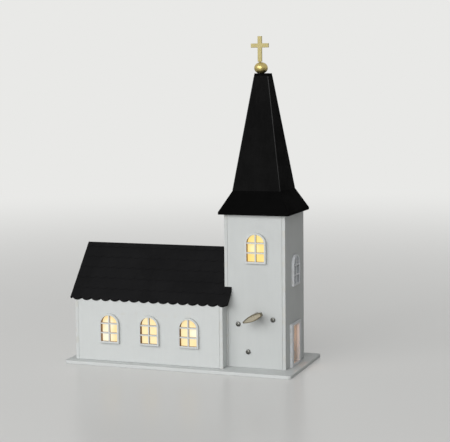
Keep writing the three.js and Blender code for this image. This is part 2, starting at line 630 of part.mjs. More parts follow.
function addMountingScrews(group) {
  const { head, headHeight, shank, depth } = SCREW;
  const face = -WALL - GLUE; // the wall's outside, seen from the movement
  const edge = 0.6;
  const profile = [new THREE.Vector2(0, 0), new THREE.Vector2(head - 0.3, 0), new THREE.Vector2(head, 0.3)];
  for (let k = 0; k <= 4; k++) {
    const a = (Math.PI / 2) * (k / 4);
    profile.push(new THREE.Vector2(k < 4 ? head * Math.cos(a) : 0, edge + (headHeight - edge) * Math.sin(a)));
  }
  const dome = new THREE.LatheGeometry(profile, 20).rotateX(-Math.PI / 2);
  const arm = (w, h) => block(-w, -h, -5, w, h, -headHeight + 0.7);
  MUSIC.screws.forEach((s, i) => {
    const screw = cut(join(dome, rod(shank, -0.3, depth - face, 16)), arm(1.6, 0.3), arm(0.3, 1.6));
    add(group, `mounting_screw_${i + 1}`, screw, STEEL, (mesh) => mesh.position.set(...s, face));
  });
}

function addMovement() {
  const group = movementGroup();
  addBedplate(group);
  addBarrelAndKey(group);
  addCylinder(group);
  addComb(group);
  addGovernor(group);
  addMountingScrews(group);
  addKey();
}

/** Height of the cells' axes: they lie on the closed lid. */
const CELL_AXIS = LID_Z + LID.thick + LID.clear + CELL.radius;
const BOX_MIDDLE = (BOX.x0 + BOX.x1) / 2;

function addBatteryBox() {
  const z0 = FLOOR;
  const ceiling = CELL_AXIS + CELL.radius + FREE;
  const { x0, x1, wall, half, flange, flangeX0, flangeX1, flangeHalf } = BOX;
  const { x, knob, travel, slotHalf } = SWITCH;
  const railFoot = LID_Z - LID.clear - LID.rail;
  const railIn = LID.half - 1.8;
  const railOut = CUT.half - GLUE;
  const railX0 = LID.x0 - 0.4;
  const railX1 = LID.x1 + 0.2;
  const plateZ = z0 + flange + 0.2;
  const plateTop = plateZ + 1.2;
  const whole = join(
    block(flangeX0, -flangeHalf, z0, flangeX1, flangeHalf, z0 + flange),
    block(x0 - wall, -half - wall, z0, x1 + wall, half + wall, ceiling + wall),
    block(railX0, railIn, railFoot, railX1, railOut, z0 + 0.5),
    block(railX0, -railOut, railFoot, railX1, -railIn, z0 + 0.5),
    block(railX1 - 0.1, -railOut, railFoot, railX1 + 1.5, railOut, z0 + 0.5),
    block(x - 5.4, -9.2, z0 + flange - 0.5, x + 5.4, 9.2, plateTop + 1.8),
  );
  add(church, "battery_box", cut(
    whole,
    block(x0, -half, -1, x1, half, ceiling),
    block(railX0 - 1, -LID.half - LID.clear, LID_Z - LID.clear, railX1 - 0.1, LID.half + LID.clear, FLOOR),
    block(x - knob / 2 - FREE, -slotHalf, z0 - 1, x + knob / 2 + FREE, slotHalf, z0 + flange + 1),
    block(x - 4, -7.5, z0 + flange, x + 4, 7.5, plateTop + FREE),
  ), PLASTIC);

  const y = -travel / 2;
  add(church, "switch_slider", join(
    block(x - 3.7, y - 4, plateZ, x + 3.7, y + 4, plateTop),
    block(x - knob / 2, y - 1.6, railFoot, x + knob / 2, y + 1.6, plateZ + 0.3),
  ), PLASTIC);

  const ridges = [0, 1, 2, 3].map((i) =>
    block(LID.x1 - 6 - 2.2 * i, -8, LID_Z - 0.7, LID.x1 - 5 - 2.2 * i, 8, LID_Z + 0.3));
  const lid = block(LID.x0, -LID.half, LID_Z, LID.x1, LID.half, LID_Z + LID.thick);
  add(church, "battery_lid", join(lid, ...ridges), PLASTIC);
}

function addCells() {
  const { radius, length, nub, nubRadius, y } = CELL;
  const all = length + nub;
  const cell = join(rod(radius, -all / 2, all / 2 - nub, 32), rod(nubRadius, -all / 2 + 1, all / 2, 16));
  [1, -1].forEach((way, i) => {
    add(church, `battery_cell_${i + 1}`, cell, CELL_PAINT, (mesh) => {
      mesh.rotation.y = (way * Math.PI) / 2;
      mesh.position.set(BOX_MIDDLE, way * y, CELL_AXIS);
    });
  });
}

/** Two small boards with lamps: one on the battery box that shines up, one under the deck. */
function addLights() {
  const { half, tall, nave, tower, edge, board: sheet } = LAMPS;
  const lamps = (xs, z0, z1) => xs.map((x) => block(x - half, -half, z0, x + half, half, z1));
  const plate = (xs, z0, z1) => block(xs[0] - edge, -edge, z0, xs.at(-1) + edge, edge, z1);
  const low = CELL_AXIS + CELL.radius + FREE + BOX.wall + GLUE;
  const lit = low + sheet;
  const upward = join(plate(nave, low, lit), ...lamps(nave, lit - 0.5, lit + tall));
  add(church, "nave_led_board", upward, CIRCUIT, (mesh) => { mesh.position.x = BOX_MIDDLE; });
  const high = TOWER.top;
  const hung = high - sheet;
  const downward = join(plate(tower, hung, high), ...lamps(tower, hung - tall, hung + 0.5));
  add(church, "tower_led_board", downward, CIRCUIT, (mesh) => { mesh.position.x = TOWER_X; });
}

addBase();
addNaveWall("nave_front_wall", -1);
addNaveWall("nave_back_wall", 1);
addGable();
addEndStrip("nave_end_strip_front", -1);
addEndStrip("nave_end_strip_back", 1);
addRoof("roof_front", -1);
addRoof("roof_back", 1);
addTowerWalls();
addDoorSurround();
addWindows();
addFilms();
addSkirtAndSpire();
addMovement();
addBatteryBox();
addCells();
addLights();

export default church;
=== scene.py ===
"""Looks of a small lit wooden Christmas church: painted boards, shingles, warm windows, a winding key."""
import logging
import math
from contextlib import contextmanager
from dataclasses import dataclass, field
from enum import Enum
from typing import Callable, Iterable, Iterator, Optional, Sequence, Union

import bmesh
import bpy
from mathutils import Matrix, Vector


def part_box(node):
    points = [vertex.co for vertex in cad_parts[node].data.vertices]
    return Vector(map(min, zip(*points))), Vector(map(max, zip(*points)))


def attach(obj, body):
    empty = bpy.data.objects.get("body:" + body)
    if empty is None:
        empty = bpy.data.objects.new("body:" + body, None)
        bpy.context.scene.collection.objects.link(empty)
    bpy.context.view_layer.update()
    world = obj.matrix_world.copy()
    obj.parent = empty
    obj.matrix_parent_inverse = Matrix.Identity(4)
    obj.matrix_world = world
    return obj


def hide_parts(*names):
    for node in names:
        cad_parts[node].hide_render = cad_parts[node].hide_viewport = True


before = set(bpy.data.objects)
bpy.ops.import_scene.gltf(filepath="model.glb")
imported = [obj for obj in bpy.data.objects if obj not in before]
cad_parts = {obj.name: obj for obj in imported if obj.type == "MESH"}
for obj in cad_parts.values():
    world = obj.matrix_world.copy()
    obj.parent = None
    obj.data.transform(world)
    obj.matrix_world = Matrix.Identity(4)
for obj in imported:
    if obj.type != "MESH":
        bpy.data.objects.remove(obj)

LOG = logging.getLogger("church")
MM = 0.001

# Points closer than this are one point, in metres
MERGE = 1e-6
# A face whose normal has less than this share along an axis is a side face
SIDE_FACE = 0.3
# Named attribute of the faces that are bare cut wood
CUT_FACES = "is_cut"

# Painted light: bright patches on the window films, for lamps close behind them: centre in millimetres, and
# the radius of the pale patch
PAINTED_WINDOW_GLOWS = (
    ((-84, -41.7, 29.6), 15.0), ((-80, -41.7, 42.6), 9.0), ((17.5, -41.7, 38.6), 9.0),
    ((80, -29.2, 128), 9.0), ((-77, 41.7, 37), 12.0), ((12, 41.7, 40), 12.0),
)

Point = Sequence[float]
Outline = list[tuple[float, float]]
Value = Union[float, tuple, bpy.types.NodeSocket]


class Body(str, Enum):
    """Rigid bodies that the pieces made here ride on."""

    CHURCH = "church"
    KEY = "winding_key"


class Slot(str, Enum):
    """Material slots of the pieces made here."""

    WHITE = "white_painted_wood"
    BLACK = "black_painted_wood"
    GOLD = "gold_metal"
    KEY = "nickel_key"
    STEEL = "movement_steel"


class Facing(Enum):
    """Which way the drawn face of a board looks, as (across, up, outward)."""

    FRONT = ((1, 0, 0), (0, 0, 1), (0, -1, 0))
    BACK = ((-1, 0, 0), (0, 0, 1), (0, 1, 0))
    RIGHT = ((0, 1, 0), (0, 0, 1), (1, 0, 0))
    LEFT = ((0, -1, 0), (0, 0, 1), (-1, 0, 0))
    UP = ((1, 0, 0), (0, 1, 0), (0, 0, 1))

    def matrix(self, origin: Point) -> Matrix:
        """Matrix that takes a board drawn in XY, thick along +Z, to this facing at an origin.

        Args:
            origin: Where the drawing's origin goes.

        Returns:
            The matrix.
        """
        columns = [Vector(axis) for axis in self.value]
        turned = Matrix(columns).transposed().to_4x4()
        return Matrix.Translation(Vector(origin)) @ turned


def srgb(red: int, green: int, blue: int) -> tuple[float, float, float, float]:
    """Linear colour with alpha 1 for display values from 0 to 255.

    Args:
        red: Display value of red.
        green: Display value of green.
        blue: Display value of blue.

    Returns:
        The colour.
    """

    def linear(c: int) -> float:
        v = c / 255
        return v / 12.92 if v <= 0.04045 else ((v + 0.055) / 1.055) ** 2.4

    return linear(red), linear(green), linear(blue), 1.0


class Nodes:
    """Shorthand for adding and linking the nodes of one tree."""

    def __init__(self, tree: bpy.types.NodeTree) -> None:
        """Start with an emptied tree."""
        tree.nodes.clear()
        self.tree = tree

    def put(self, socket: bpy.types.NodeSocket, value: Value) -> None:
        """Link a socket, or set its value.

        Args:
            socket: An input socket.
            value: A value, or the output socket to link.
        """
        if isinstance(value, bpy.types.NodeSocket):
            self.tree.links.new(value, socket)
        else:
            socket.default_value = value

    def add(self, kind: str, inputs: Optional[dict] = None, **settings) -> bpy.types.Node:
        """Add a node.

        Args:
            kind: The node's type name.
            inputs: Input name or number to a value or an output socket.
            **settings: Properties set on the node before its inputs.

        Returns:
            The new node.
        """
        node = self.tree.nodes.new(kind)
        for key, value in settings.items():
            setattr(node, key, value)
        for key, value in (inputs or {}).items():
            self.put(node.inputs[key], value)
        return node

    def math(self, operation: str, *values: Value) -> bpy.types.NodeSocket:
        """Output of a Math node."""
        kind = "ShaderNodeMath"
        return self.add(kind, dict(enumerate(values)), operation=operation).outputs[0]

    def vector(self, operation: str, *values: Value) -> bpy.types.NodeSocket:
        """Vector output of a Vector Math node."""
        kind = "ShaderNodeVectorMath"
        return self.add(kind, dict(enumerate(values)), operation=operation).outputs[0]

    def noise(self, vector: Value, scale: Value, detail: float, **inputs: float) -> bpy.types.NodeSocket:
        """Value output of a Noise Texture node."""
        given = {"Vector": vector, "Scale": scale, "Detail": detail, **inputs}
        return self.add("ShaderNodeTexNoise", given).outputs[0]

    def remap(self, value: Value, low: float, high: float,
              to_low: float = 0.0, to_high: float = 1.0) -> bpy.types.NodeSocket:
        """A value moved smoothly from one range to another, and clamped."""
        inputs = {0: value, 1: low, 2: high, 3: to_low, 4: to_high}
        return self.add("ShaderNodeMapRange", inputs, interpolation_type="SMOOTHSTEP").outputs[0]

    def blend(self, factor: Value, a: Value, b: Value, mode: str = "MIX") -> bpy.types.NodeSocket:
        """Colour output of a Mix node.

        Args:
            factor: Share of the second colour.
            a: First colour.
            b: Second colour.
            mode: Blend mode.

        Returns:
            The output socket.
        """
        node = self.add("ShaderNodeMix", data_type="RGBA", blend_type=mode)
        for index, value in ((0, factor), (6, a), (7, b)):
            self.put(node.inputs[index], value)
        return node.outputs[2]


def group_tree(kind: str, name: str, inputs: dict, outputs: dict) -> tuple[Nodes, dict, bpy.types.Node]:
    """Begin a node group with named sockets.

    Args:
        kind: ShaderNodeTree or GeometryNodeTree.
        name: The group's name.
        inputs: Socket name to (socket type, default or None).
        outputs: Socket name to socket type.

    Returns:
        The node helper, the input sockets by name, and the group's output node.
    """
    tree = bpy.data.node_groups.new(name, kind)
    nodes = Nodes(tree)
    for label, (socket_type, default) in inputs.items():
        socket = tree.interface.new_socket(label, in_out="INPUT", socket_type=socket_type)
        if default is not None:
            socket.default_value = default
    for label, socket_type in outputs.items():
        tree.interface.new_socket(label, in_out="OUTPUT", socket_type=socket_type)
    source = nodes.add("NodeGroupInput")
    target = nodes.add("NodeGroupOutput")
    return nodes, {label: source.outputs[label] for label in inputs}, target


class SharedEffects:
    """Shader node groups that more than one finish uses."""

    def __init__(self) -> None:
        """Build every group once."""
        self.grain = self._grain()
        self.speckle = self._speckle()
        self.edge_wear = self._edge_wear()
        self.hot_spot = self._painted_glow_spot()

    def _grain(self) -> bpy.types.NodeTree:
        """Wood grain that shows through paint: long fibres and shallow waves.

        Returns:
            The node group.
        """
        nodes, given, out = group_tree(
            "ShaderNodeTree", "wood_grain",
            {"Vector": ("NodeSocketVector", None), "Scale": ("NodeSocketVector", (900.0, 900.0, 60.0)),
             "Waviness": ("NodeSocketFloat", 0.4)},
            {"Height": "NodeSocketFloat", "Tone": "NodeSocketFloat"})
        stretched = nodes.vector("MULTIPLY", given["Vector"], given["Scale"])
        fibres = nodes.noise(stretched, 1.0, 4.0, Roughness=0.6)
        wide = nodes.vector("SCALE", stretched)
        wide.node.inputs["Scale"].default_value = 0.12
        waves = nodes.noise(wide, 1.0, 2.0, Distortion=0.6)
        share = nodes.math("MULTIPLY", waves, given["Waviness"])
        nodes.put(out.inputs["Height"], nodes.math("ADD", nodes.math("MULTIPLY", fibres, 0.6), share))
        nodes.put(out.inputs["Tone"], nodes.remap(fibres, 0.3, 0.7))
        return nodes.tree

    def _speckle(self) -> bpy.types.NodeTree:
        """Orange peel of a sprayed or rolled coat, with slow blotches.

        Returns:
            The node group.
        """
        nodes, given, out = group_tree(
            "ShaderNodeTree", "sprayed_coat",
            {"Vector": ("NodeSocketVector", None), "Size mm": ("NodeSocketFloat", 0.6)},
            {"Height": "NodeSocketFloat", "Blotch": "NodeSocketFloat"})
        scale = nodes.math("DIVIDE", 1000.0, given["Size mm"])
        peel = nodes.noise(given["Vector"], scale, 2.0)
        blotch = nodes.noise(given["Vector"], 38.0, 3.0)
        nodes.put(out.inputs["Height"], peel)
        nodes.put(out.inputs["Blotch"], nodes.remap(blotch, 0.35, 0.65))
        return nodes.tree

    def _edge_wear(self) -> bpy.types.NodeTree:
        """Mask of rubbed edges and corners, broken up by noise.

        Returns:
            The node group.
        """
        nodes, given, out = group_tree(
            "ShaderNodeTree", "edge_wear",
            {"Vector": ("NodeSocketVector", None), "Amount": ("NodeSocketFloat", 0.5)},
            {"Mask": "NodeSocketFloat"})
        sharp = nodes.remap(nodes.add("ShaderNodeNewGeometry").outputs["Pointiness"], 0.53, 0.62)
        patches = nodes.noise(given["Vector"], 160.0, 4.0)
        broken = nodes.math("MULTIPLY", sharp, nodes.remap(patches, 0.45, 0.65))
        nodes.put(out.inputs["Mask"], nodes.math("MULTIPLY", broken, given["Amount"]))
        return nodes.tree

    def _painted_glow_spot(self) -> bpy.types.NodeTree:
        """Soft round patch of painted light about a point, such as the glow of a lamp close behind a sheet.

        Returns:
            The node group.
        """
        nodes, given, out = group_tree(
            "ShaderNodeTree", "hot_spot",
            {"Vector": ("NodeSocketVector", None), "Centre": ("NodeSocketVector", (0.0, 0.0, 0.0)),
             "Radius": ("NodeSocketFloat", 0.01)},
            {"Mask": "NodeSocketFloat"})
        ends = {0: given["Vector"], 1: given["Centre"]}
        away = nodes.add("ShaderNodeVectorMath", ends, operation="DISTANCE")
        share = nodes.math("DIVIDE", away.outputs["Value"], given["Radius"])
        nodes.put(out.inputs["Mask"], nodes.remap(share, 0.2, 1.0, 1.0, 0.0))
        return nodes.tree


class Finish:
    """A named material that pieces are dressed in."""

    def __init__(self, name: str) -> None:
        """Make the material and its Principled shader.

        Args:
            name: The material's name.
        """
        self.material = bpy.data.materials.new(name)
        self.material.use_nodes = True
        self.nodes = Nodes(self.material.node_tree)
        self.shader = self.nodes.add("ShaderNodeBsdfPrincipled")
        self.output = self.nodes.add("ShaderNodeOutputMaterial")
        self.nodes.put(self.output.inputs["Surface"], self.shader.outputs[0])
        self.place = self.nodes.add("ShaderNodeTexCoord").outputs["Object"]

    def effect(self, tree: bpy.types.NodeTree, **values: Value) -> bpy.types.Node:
        """Place a shared group, its named inputs given with underscores for spaces.

        Args:
            tree: The group.
            **values: Input name to a value or an output socket.

        Returns:
            The group's node.
        """
        node = self.nodes.add("ShaderNodeGroup", node_tree=tree)
        for key, value in {"Vector": self.place, **values}.items():
            self.nodes.put(node.inputs[key.replace("_", " ")], value)
        return node

    def bump(self, height: Value, strength: float, depth_mm: float) -> None:
        """Feed a height to the shader's normal.

        Args:
            height: The height.
            strength: Strength of the bump.
            depth_mm: Depth for a height of 1.
        """
        inputs = {"Height": height, "Strength": strength, "Distance": depth_mm * MM}
        node = self.nodes.add("ShaderNodeBump", inputs)
        self.nodes.put(self.shader.inputs["Normal"], node.outputs[0])

    def set(self, **values: Value) -> None:
        """Set or link sockets of the shader, their names written with underscores."""
        for key, value in values.items():
            self.nodes.put(self.shader.inputs[key.replace("_", " ")], value)


@dataclass(frozen=True)
class PaintedBoard:
    """Satin or matt paint on a thin board, with its grain just showing."""

    name: str
    colour: tuple
    shade: tuple
    worn: tuple
    roughness: float
    grain_scale: tuple = (420.0, 420.0, 38.0)
    relief: float = 0.25
    wear: float = 0.35
    sheen: float = 0.5

    def build(self, effects: SharedEffects) -> bpy.types.Material:
        """Make the material.

        Args:
            effects: The shared node groups.

        Returns:
            The material.
        """
        f = Finish(self.name)
        grain = f.effect(effects.grain, Scale=self.grain_scale)
        coat = f.effect(effects.speckle)
        worn = f.effect(effects.edge_wear, Amount=self.wear)
        tone = f.nodes.math("MULTIPLY", grain.outputs["Tone"], 0.5)
        tone = f.nodes.math("ADD", tone, f.nodes.math("MULTIPLY", coat.outputs["Blotch"], 0.5))
        painted = f.nodes.blend(tone, self.colour, self.shade)
        colour = f.nodes.blend(worn.outputs["Mask"], painted, self.worn)
        rough = f.nodes.remap(coat.outputs["Blotch"], 0.0, 1.0, self.roughness - 0.05, self.roughness + 0.05)
        f.set(Base_Color=colour, Roughness=rough, Specular_IOR_Level=self.sheen)
        height = f.nodes.math("ADD", f.nodes.math("MULTIPLY", grain.outputs["Height"], 0.7),
                              f.nodes.math("MULTIPLY", coat.outputs["Height"], 0.5))
        f.bump(height, self.relief, 0.12)
        return f.material


@dataclass(frozen=True)
class CutEdge:
    """Bare edge of a cut board, browned by the cutting heat, with its plies showing."""

    name: str = "cut_wood_edge"
    pale: tuple = srgb(196, 158, 116)
    dark: tuple = srgb(120, 82, 52)

    def build(self, effects: SharedEffects) -> bpy.types.Material:
        """Make the material.

        Args:
            effects: The shared node groups.

        Returns:
            The material.
        """
        f = Finish(self.name)
        grain = f.effect(effects.grain, Scale=(700.0, 1500.0, 700.0))
        burnt = f.effect(effects.speckle, Size_mm=2.0)
        scorch = f.nodes.math("MULTIPLY", burnt.outputs["Blotch"], 0.6)
        factor = f.nodes.math("ADD", f.nodes.math("MULTIPLY", grain.outputs["Tone"], 0.4), scorch)
        f.set(Base_Color=f.nodes.blend(factor, self.pale, self.dark), Roughness=0.75)
        f.bump(grain.outputs["Height"], 0.4, 0.15)
        return f.material


@dataclass(frozen=True)
class PlatedMetal:
    """Plated or turned metal with fine lines and a little tarnish."""

    name: str
    colour: tuple
    tarnish: tuple
    roughness: float
    lines: tuple = (300.0, 300.0, 2500.0)
    relief: float = 0.12
    metal: float = 1.0

    def build(self, effects: SharedEffects) -> bpy.types.Material:
        """Make the material.

        Args:
            effects: The shared node groups.

        Returns:
            The material.
        """
        f = Finish(self.name)
        lines = f.effect(effects.grain, Scale=self.lines, Waviness=0.1)
        film = f.effect(effects.speckle, Size_mm=1.2)
        stain = f.nodes.math("MULTIPLY", film.outputs["Blotch"], 0.45)
        colour = f.nodes.blend(stain, self.colour, self.tarnish)
        rough = f.nodes.remap(lines.outputs["Tone"], 0.0, 1.0, self.roughness - 0.03, self.roughness + 0.04)
        f.set(Base_Color=colour, Metallic=self.metal, Roughness=rough)
        if self.relief > 0:
            f.bump(lines.outputs["Height"], self.relief, 0.05)
        return f.material


@dataclass(frozen=True)
class GlowingSheet:
    """Translucent sheet whose glow is painted: it emits as if lit from behind, nearly white where a lamp is
    close.
    """

    name: str = "glowing_film"
    edge: tuple = srgb(253, 224, 156)
    middle: tuple = srgb(255, 238, 188)
    hot: tuple = srgb(255, 251, 226)
    base: tuple = srgb(120, 100, 70)
    strength: float = 0.92
    lamps: tuple = ()

    def build(self, effects: SharedEffects) -> bpy.types.Material:
        """Make the material.

        Args:
            effects: The shared node groups.

        Returns:
            The material.
        """
        f = Finish(self.name)
        cloud = f.effect(effects.speckle, Size_mm=4.0)
        colour = f.nodes.blend(cloud.outputs["Blotch"], self.edge, self.middle)
        for centre, radius in self.lamps:
            spot = f.effect(effects.hot_spot, Centre=tuple(c * MM for c in centre), Radius=radius * MM)
            colour = f.nodes.blend(spot.outputs["Mask"], colour, self.hot)
        # Painted light: the sheet glows by its own emission, in the glow colours and the painted hot patches
        f.set(Base_Color=self.base, Roughness=0.6, Emission_Color=colour, Emission_Strength=self.strength)
        f.bump(cloud.outputs["Height"], 0.1, 0.1)
        return f.material


@dataclass(frozen=True)
class MouldedPlastic:
    """Moulded plastic with a fine spark-eroded grain."""

    name: str
    colour: tuple
    shade: tuple
    roughness: float = 0.5

    def build(self, effects: SharedEffects) -> bpy.types.Material:
        """Make the material.

        Args:
            effects: The shared node groups.

        Returns:
            The material.
        """
        f = Finish(self.name)
        skin = f.effect(effects.speckle, Size_mm=0.25)
        colour = f.nodes.blend(skin.outputs["Blotch"], self.colour, self.shade)
        rough = f.nodes.remap(skin.outputs["Height"], 0.3, 0.7, self.roughness - 0.08, self.roughness + 0.08)
        f.set(Base_Color=colour, Roughness=rough)
        f.bump(skin.outputs["Height"], 0.25, 0.05)
        return f.material


@dataclass(frozen=True)
class CellSleeve:
    """Shrink sleeve of a cell: a plain dark body with a pale band toward one end."""

    name: str = "plain_cell_sleeve"

    def build(self, effects: SharedEffects) -> bpy.types.Material:
        """Make the material.

        Args:
            effects: The shared node groups.

        Returns:
            The material.
        """
        f = Finish(self.name)
        along = f.nodes.add("ShaderNodeSeparateXYZ", {0: f.place}).outputs[0]
        band = f.nodes.math("COMPARE", along, -0.032, 0.021)
        skin = f.effect(effects.speckle, Size_mm=1.5)
        dark = f.nodes.blend(skin.outputs["Blotch"], srgb(44, 92, 66), srgb(38, 82, 60))
        f.set(Base_Color=f.nodes.blend(band, srgb(196, 176, 120), dark), Roughness=0.32,
              Metallic=f.nodes.math("SUBTRACT", 1.0, band))
        return f.material


@dataclass(frozen=True)
class LampBoard:
    """White circuit board whose lamps glow warm."""

    name: str = "lamp_board"

    def build(self, effects: SharedEffects) -> bpy.types.Material:
        """Make the material.

        Args:
            effects: The shared node groups.

        Returns:
            The material.
        """
        f = Finish(self.name)
        skin = f.effect(effects.speckle, Size_mm=0.8)
        f.set(Base_Color=f.nodes.blend(skin.outputs["Blotch"], srgb(238, 232, 216), srgb(226, 218, 198)),
              Roughness=0.45, Emission_Color=srgb(255, 214, 140), Emission_Strength=0.5)
        return f.material


class Wardrobe:
    """Every finish of the church, each made once."""

    def __init__(self) -> None:
        """Build the shared effects and then the finishes."""
        effects = SharedEffects()
        white = dict(worn=srgb(200, 196, 184), roughness=0.55, relief=0.07, sheen=0.3)
        nave = dict(colour=srgb(210, 213, 212), shade=srgb(207, 210, 209), **white)
        # Painted shade: the tower's white is the nave's paint made a little darker, for the tower's walls
        # being less lit
        tower = dict(colour=srgb(202, 205, 204), shade=srgb(199, 202, 201), **white)
        # Painted highlight: a brighter copy of the white paint, for the door surround and the side window's
        # frame, whose edges catch the light
        highlight_paint = dict(colour=srgb(227, 230, 233), shade=srgb(223, 226, 229), **white)
        black = dict(worn=srgb(34, 33, 32), roughness=0.7)
        upright, even, level = (380.0, 380.0, 30.0), (500.0, 500.0, 500.0), (30.0, 420.0, 420.0)
        self.wall = PaintedBoard("white_nave_paint", **nave, grain_scale=upright).build(effects)
        self.tower_wall_shaded = PaintedBoard("white_tower_paint", **tower, grain_scale=upright).build(effects)
        self.trim = PaintedBoard("white_trim_paint", **nave, grain_scale=even).build(effects)
        self.highlight_trim = PaintedBoard("white_door_trim_paint", **highlight_paint, grain_scale=even).build(effects)
        self.floor_board = PaintedBoard("white_base_paint", **nave, grain_scale=level).build(effects)
        self.shingles = PaintedBoard(
            "black_shingle_paint", colour=srgb(25, 25, 26), shade=srgb(21, 21, 22), **black, relief=0.5,
            grain_scale=(500.0, 60.0, 60.0), sheen=0.05).build(effects)
        self.spire = PaintedBoard(
            "black_spire_paint", colour=srgb(23, 23, 23), shade=srgb(17, 17, 17), **black, relief=0.5,
            grain_scale=(520.0, 520.0, 40.0), sheen=0.006).build(effects)
        self.skirt = PaintedBoard(
            "black_skirt_paint", colour=srgb(13, 13, 13), shade=srgb(10, 10, 10), **black, relief=0.2,
            grain_scale=(60.0, 60.0, 400.0), sheen=0.004).build(effects)
        # Painted highlight: grey lines on the spire's corners, partly the mitre joints and partly the light
        # that the corners catch
        self.joint_highlight = PaintedBoard(
            "grey_filler_line", colour=srgb(58, 58, 58), shade=srgb(40, 40, 41), worn=srgb(70, 70, 70),
            roughness=0.6, sheen=0.2).build(effects)
        self.cut = CutEdge().build(effects)
        self.gold = PlatedMetal(
            "gold_plate", colour=srgb(192, 174, 112), tarnish=srgb(182, 163, 100), roughness=0.32,
            relief=0.0, metal=0.85).build(effects)
        self.gold_cross = PlatedMetal(
            "gold_cross_plate", colour=srgb(176, 164, 112), tarnish=srgb(168, 155, 102), roughness=0.5,
            relief=0.0, metal=0.3).build(effects)
        # Painted light and reflection: a pale copy of nickel for the key's dished face, and a dark copy for
        # its rim and hub, for the dark surroundings they reflect
        self.nickel = PlatedMetal(
            "nickel_sheet", colour=srgb(168, 161, 143), tarnish=srgb(148, 141, 121), roughness=0.45,
            relief=0.03, metal=0.6).build(effects)
        self.nickel_edge = PlatedMetal(
            "nickel_edge", colour=srgb(112, 104, 84), tarnish=srgb(84, 78, 62), roughness=0.3,
            relief=0.03).build(effects)
        # Painted reflection: steel made dark, for the dark surroundings that the screw heads reflect
        self.steel = PlatedMetal(
            "zinc_steel", colour=srgb(112, 112, 108), tarnish=srgb(84, 84, 80), roughness=0.16,
            relief=0.02).build(effects)
        self.brass = PlatedMetal("machined_brass", srgb(196, 164, 92), srgb(150, 118, 60), 0.3).build(effects)
        # Painted light: the films glow by emission, paler where lamps sit close behind them
        self.film = GlowingSheet(lamps=PAINTED_WINDOW_GLOWS).build(effects)
        self.tower_film = GlowingSheet(
            "tower_film", edge=srgb(254, 222, 130), middle=srgb(255, 233, 150), hot=srgb(255, 243, 184),
            lamps=PAINTED_WINDOW_GLOWS).build(effects)
        self.dim_film = GlowingSheet("dim_film", base=srgb(168, 176, 182), strength=0.004).build(effects)
        self.plastic = MouldedPlastic("black_moulding", srgb(38, 38, 40), srgb(28, 28, 30)).build(effects)
        self.sleeve = CellSleeve().build(effects)
        self.lamps = LampBoard().build(effects)


def mesh_from(bm: bmesh.types.BMesh, name: str) -> bpy.types.Mesh:
    """Write a bmesh to a new mesh and free it.

    Args:
        bm: The bmesh.
        name: The mesh's name.

    Returns:
        The mesh.
    """
    mesh = bpy.data.meshes.new(name)
    bm.to_mesh(mesh)
    bm.free()
    return mesh


def link(name: str, data: bpy.types.ID) -> bpy.types.Object:
    """Put a mesh, a curve, a light or a camera in the scene as an object at the origin.

    Args:
        name: The object's name.
        data: What the object shows.

    Returns:
        The object.
    """
    obj = bpy.data.objects.new(name, data)
    bpy.context.scene.collection.objects.link(obj)
    return obj


@contextmanager
def edited(mesh: bpy.types.Mesh) -> Iterator[bmesh.types.BMesh]:
    """Open a mesh for editing, then turn its faces outward and write it back.

    Args:
        mesh: The mesh.

    Returns:
        The open bmesh, for a with statement.
    """
    bm = bmesh.new()
    bm.from_mesh(mesh)
    yield bm
    bmesh.ops.recalc_face_normals(bm, faces=bm.faces)
    bm.to_mesh(mesh)
    bm.free()


def dressed(obj: bpy.types.Object, body: Body, slot: Slot, nodes: Iterable[str],
            *materials: bpy.types.Material) -> bpy.types.Object:
    """Give a finished piece its materials and body, and hide the nodes that it stands for.

    Args:
        obj: The piece, its place in its mesh.
        body: The rigid body that it rides on.
        slot: The record's material slot. Not used.
        nodes: CAD nodes that it replaces.
        *materials: Its materials in slot order. Without any, the ones it has stay.

    Returns:
        The piece.
    """
    if materials:
        obj.data.materials.clear()
        for material in materials:
            obj.data.materials.append(material)
    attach(obj, body.value)
    names = list(nodes)
    if names:
        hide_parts(*names)
    LOG.info("%s: %d faces on %s", obj.name, len(obj.data.polygons), body.value)
    return obj


def baked(obj: bpy.types.Object, name: str) -> bpy.types.Object:
    """Turn an object with modifiers, or a curve, into a plain mesh object, and remove the first.

    Args:
        obj: The object. It is removed.
        name: The new object's name.

    Returns:
        The mesh object.
    """
    depsgraph = bpy.context.evaluated_depsgraph_get()
    depsgraph.update()
    mesh = bpy.data.meshes.new_from_object(obj.evaluated_get(depsgraph), depsgraph=depsgraph)
    mesh.name = name
    matrix = obj.matrix_world.copy()
    bpy.data.objects.remove(obj)
    mesh.transform(matrix)
    return link(name, mesh)


def metres(points: Sequence[tuple[float, float]]) -> Outline:
    """Points in millimetres as points in metres."""
    return [(x * MM, y * MM) for x, y in points]


def circle(radius: float, steps: int = 32) -> Outline:
    """Points of a circle about the origin."""
    turns = [2 * math.pi * i / steps for i in range(steps)]
    return [(radius * math.cos(a), radius * math.sin(a)) for a in turns]


def dome(radius: float, rise: float, middle: float, start: float, steps: int) -> Outline:
    """Profile of a dome, to be turned about its axis.

    Args:
        radius: Its greatest radius.
        rise: Height of its top above its middle.
        middle: Height of its middle.
        start: Angle above the middle at which the profile starts, in radians.
        steps: Number of steps up to the top.

    Returns:
        (radius, height) points from the start to the top, which is on the axis.
    """
    points = []
    for i in range(steps + 1):
        a = start + (math.pi / 2 - start) * i / steps
        points.append((radius * math.cos(a) if i < steps else 0.0, middle + rise * math.sin(a)))
    return points


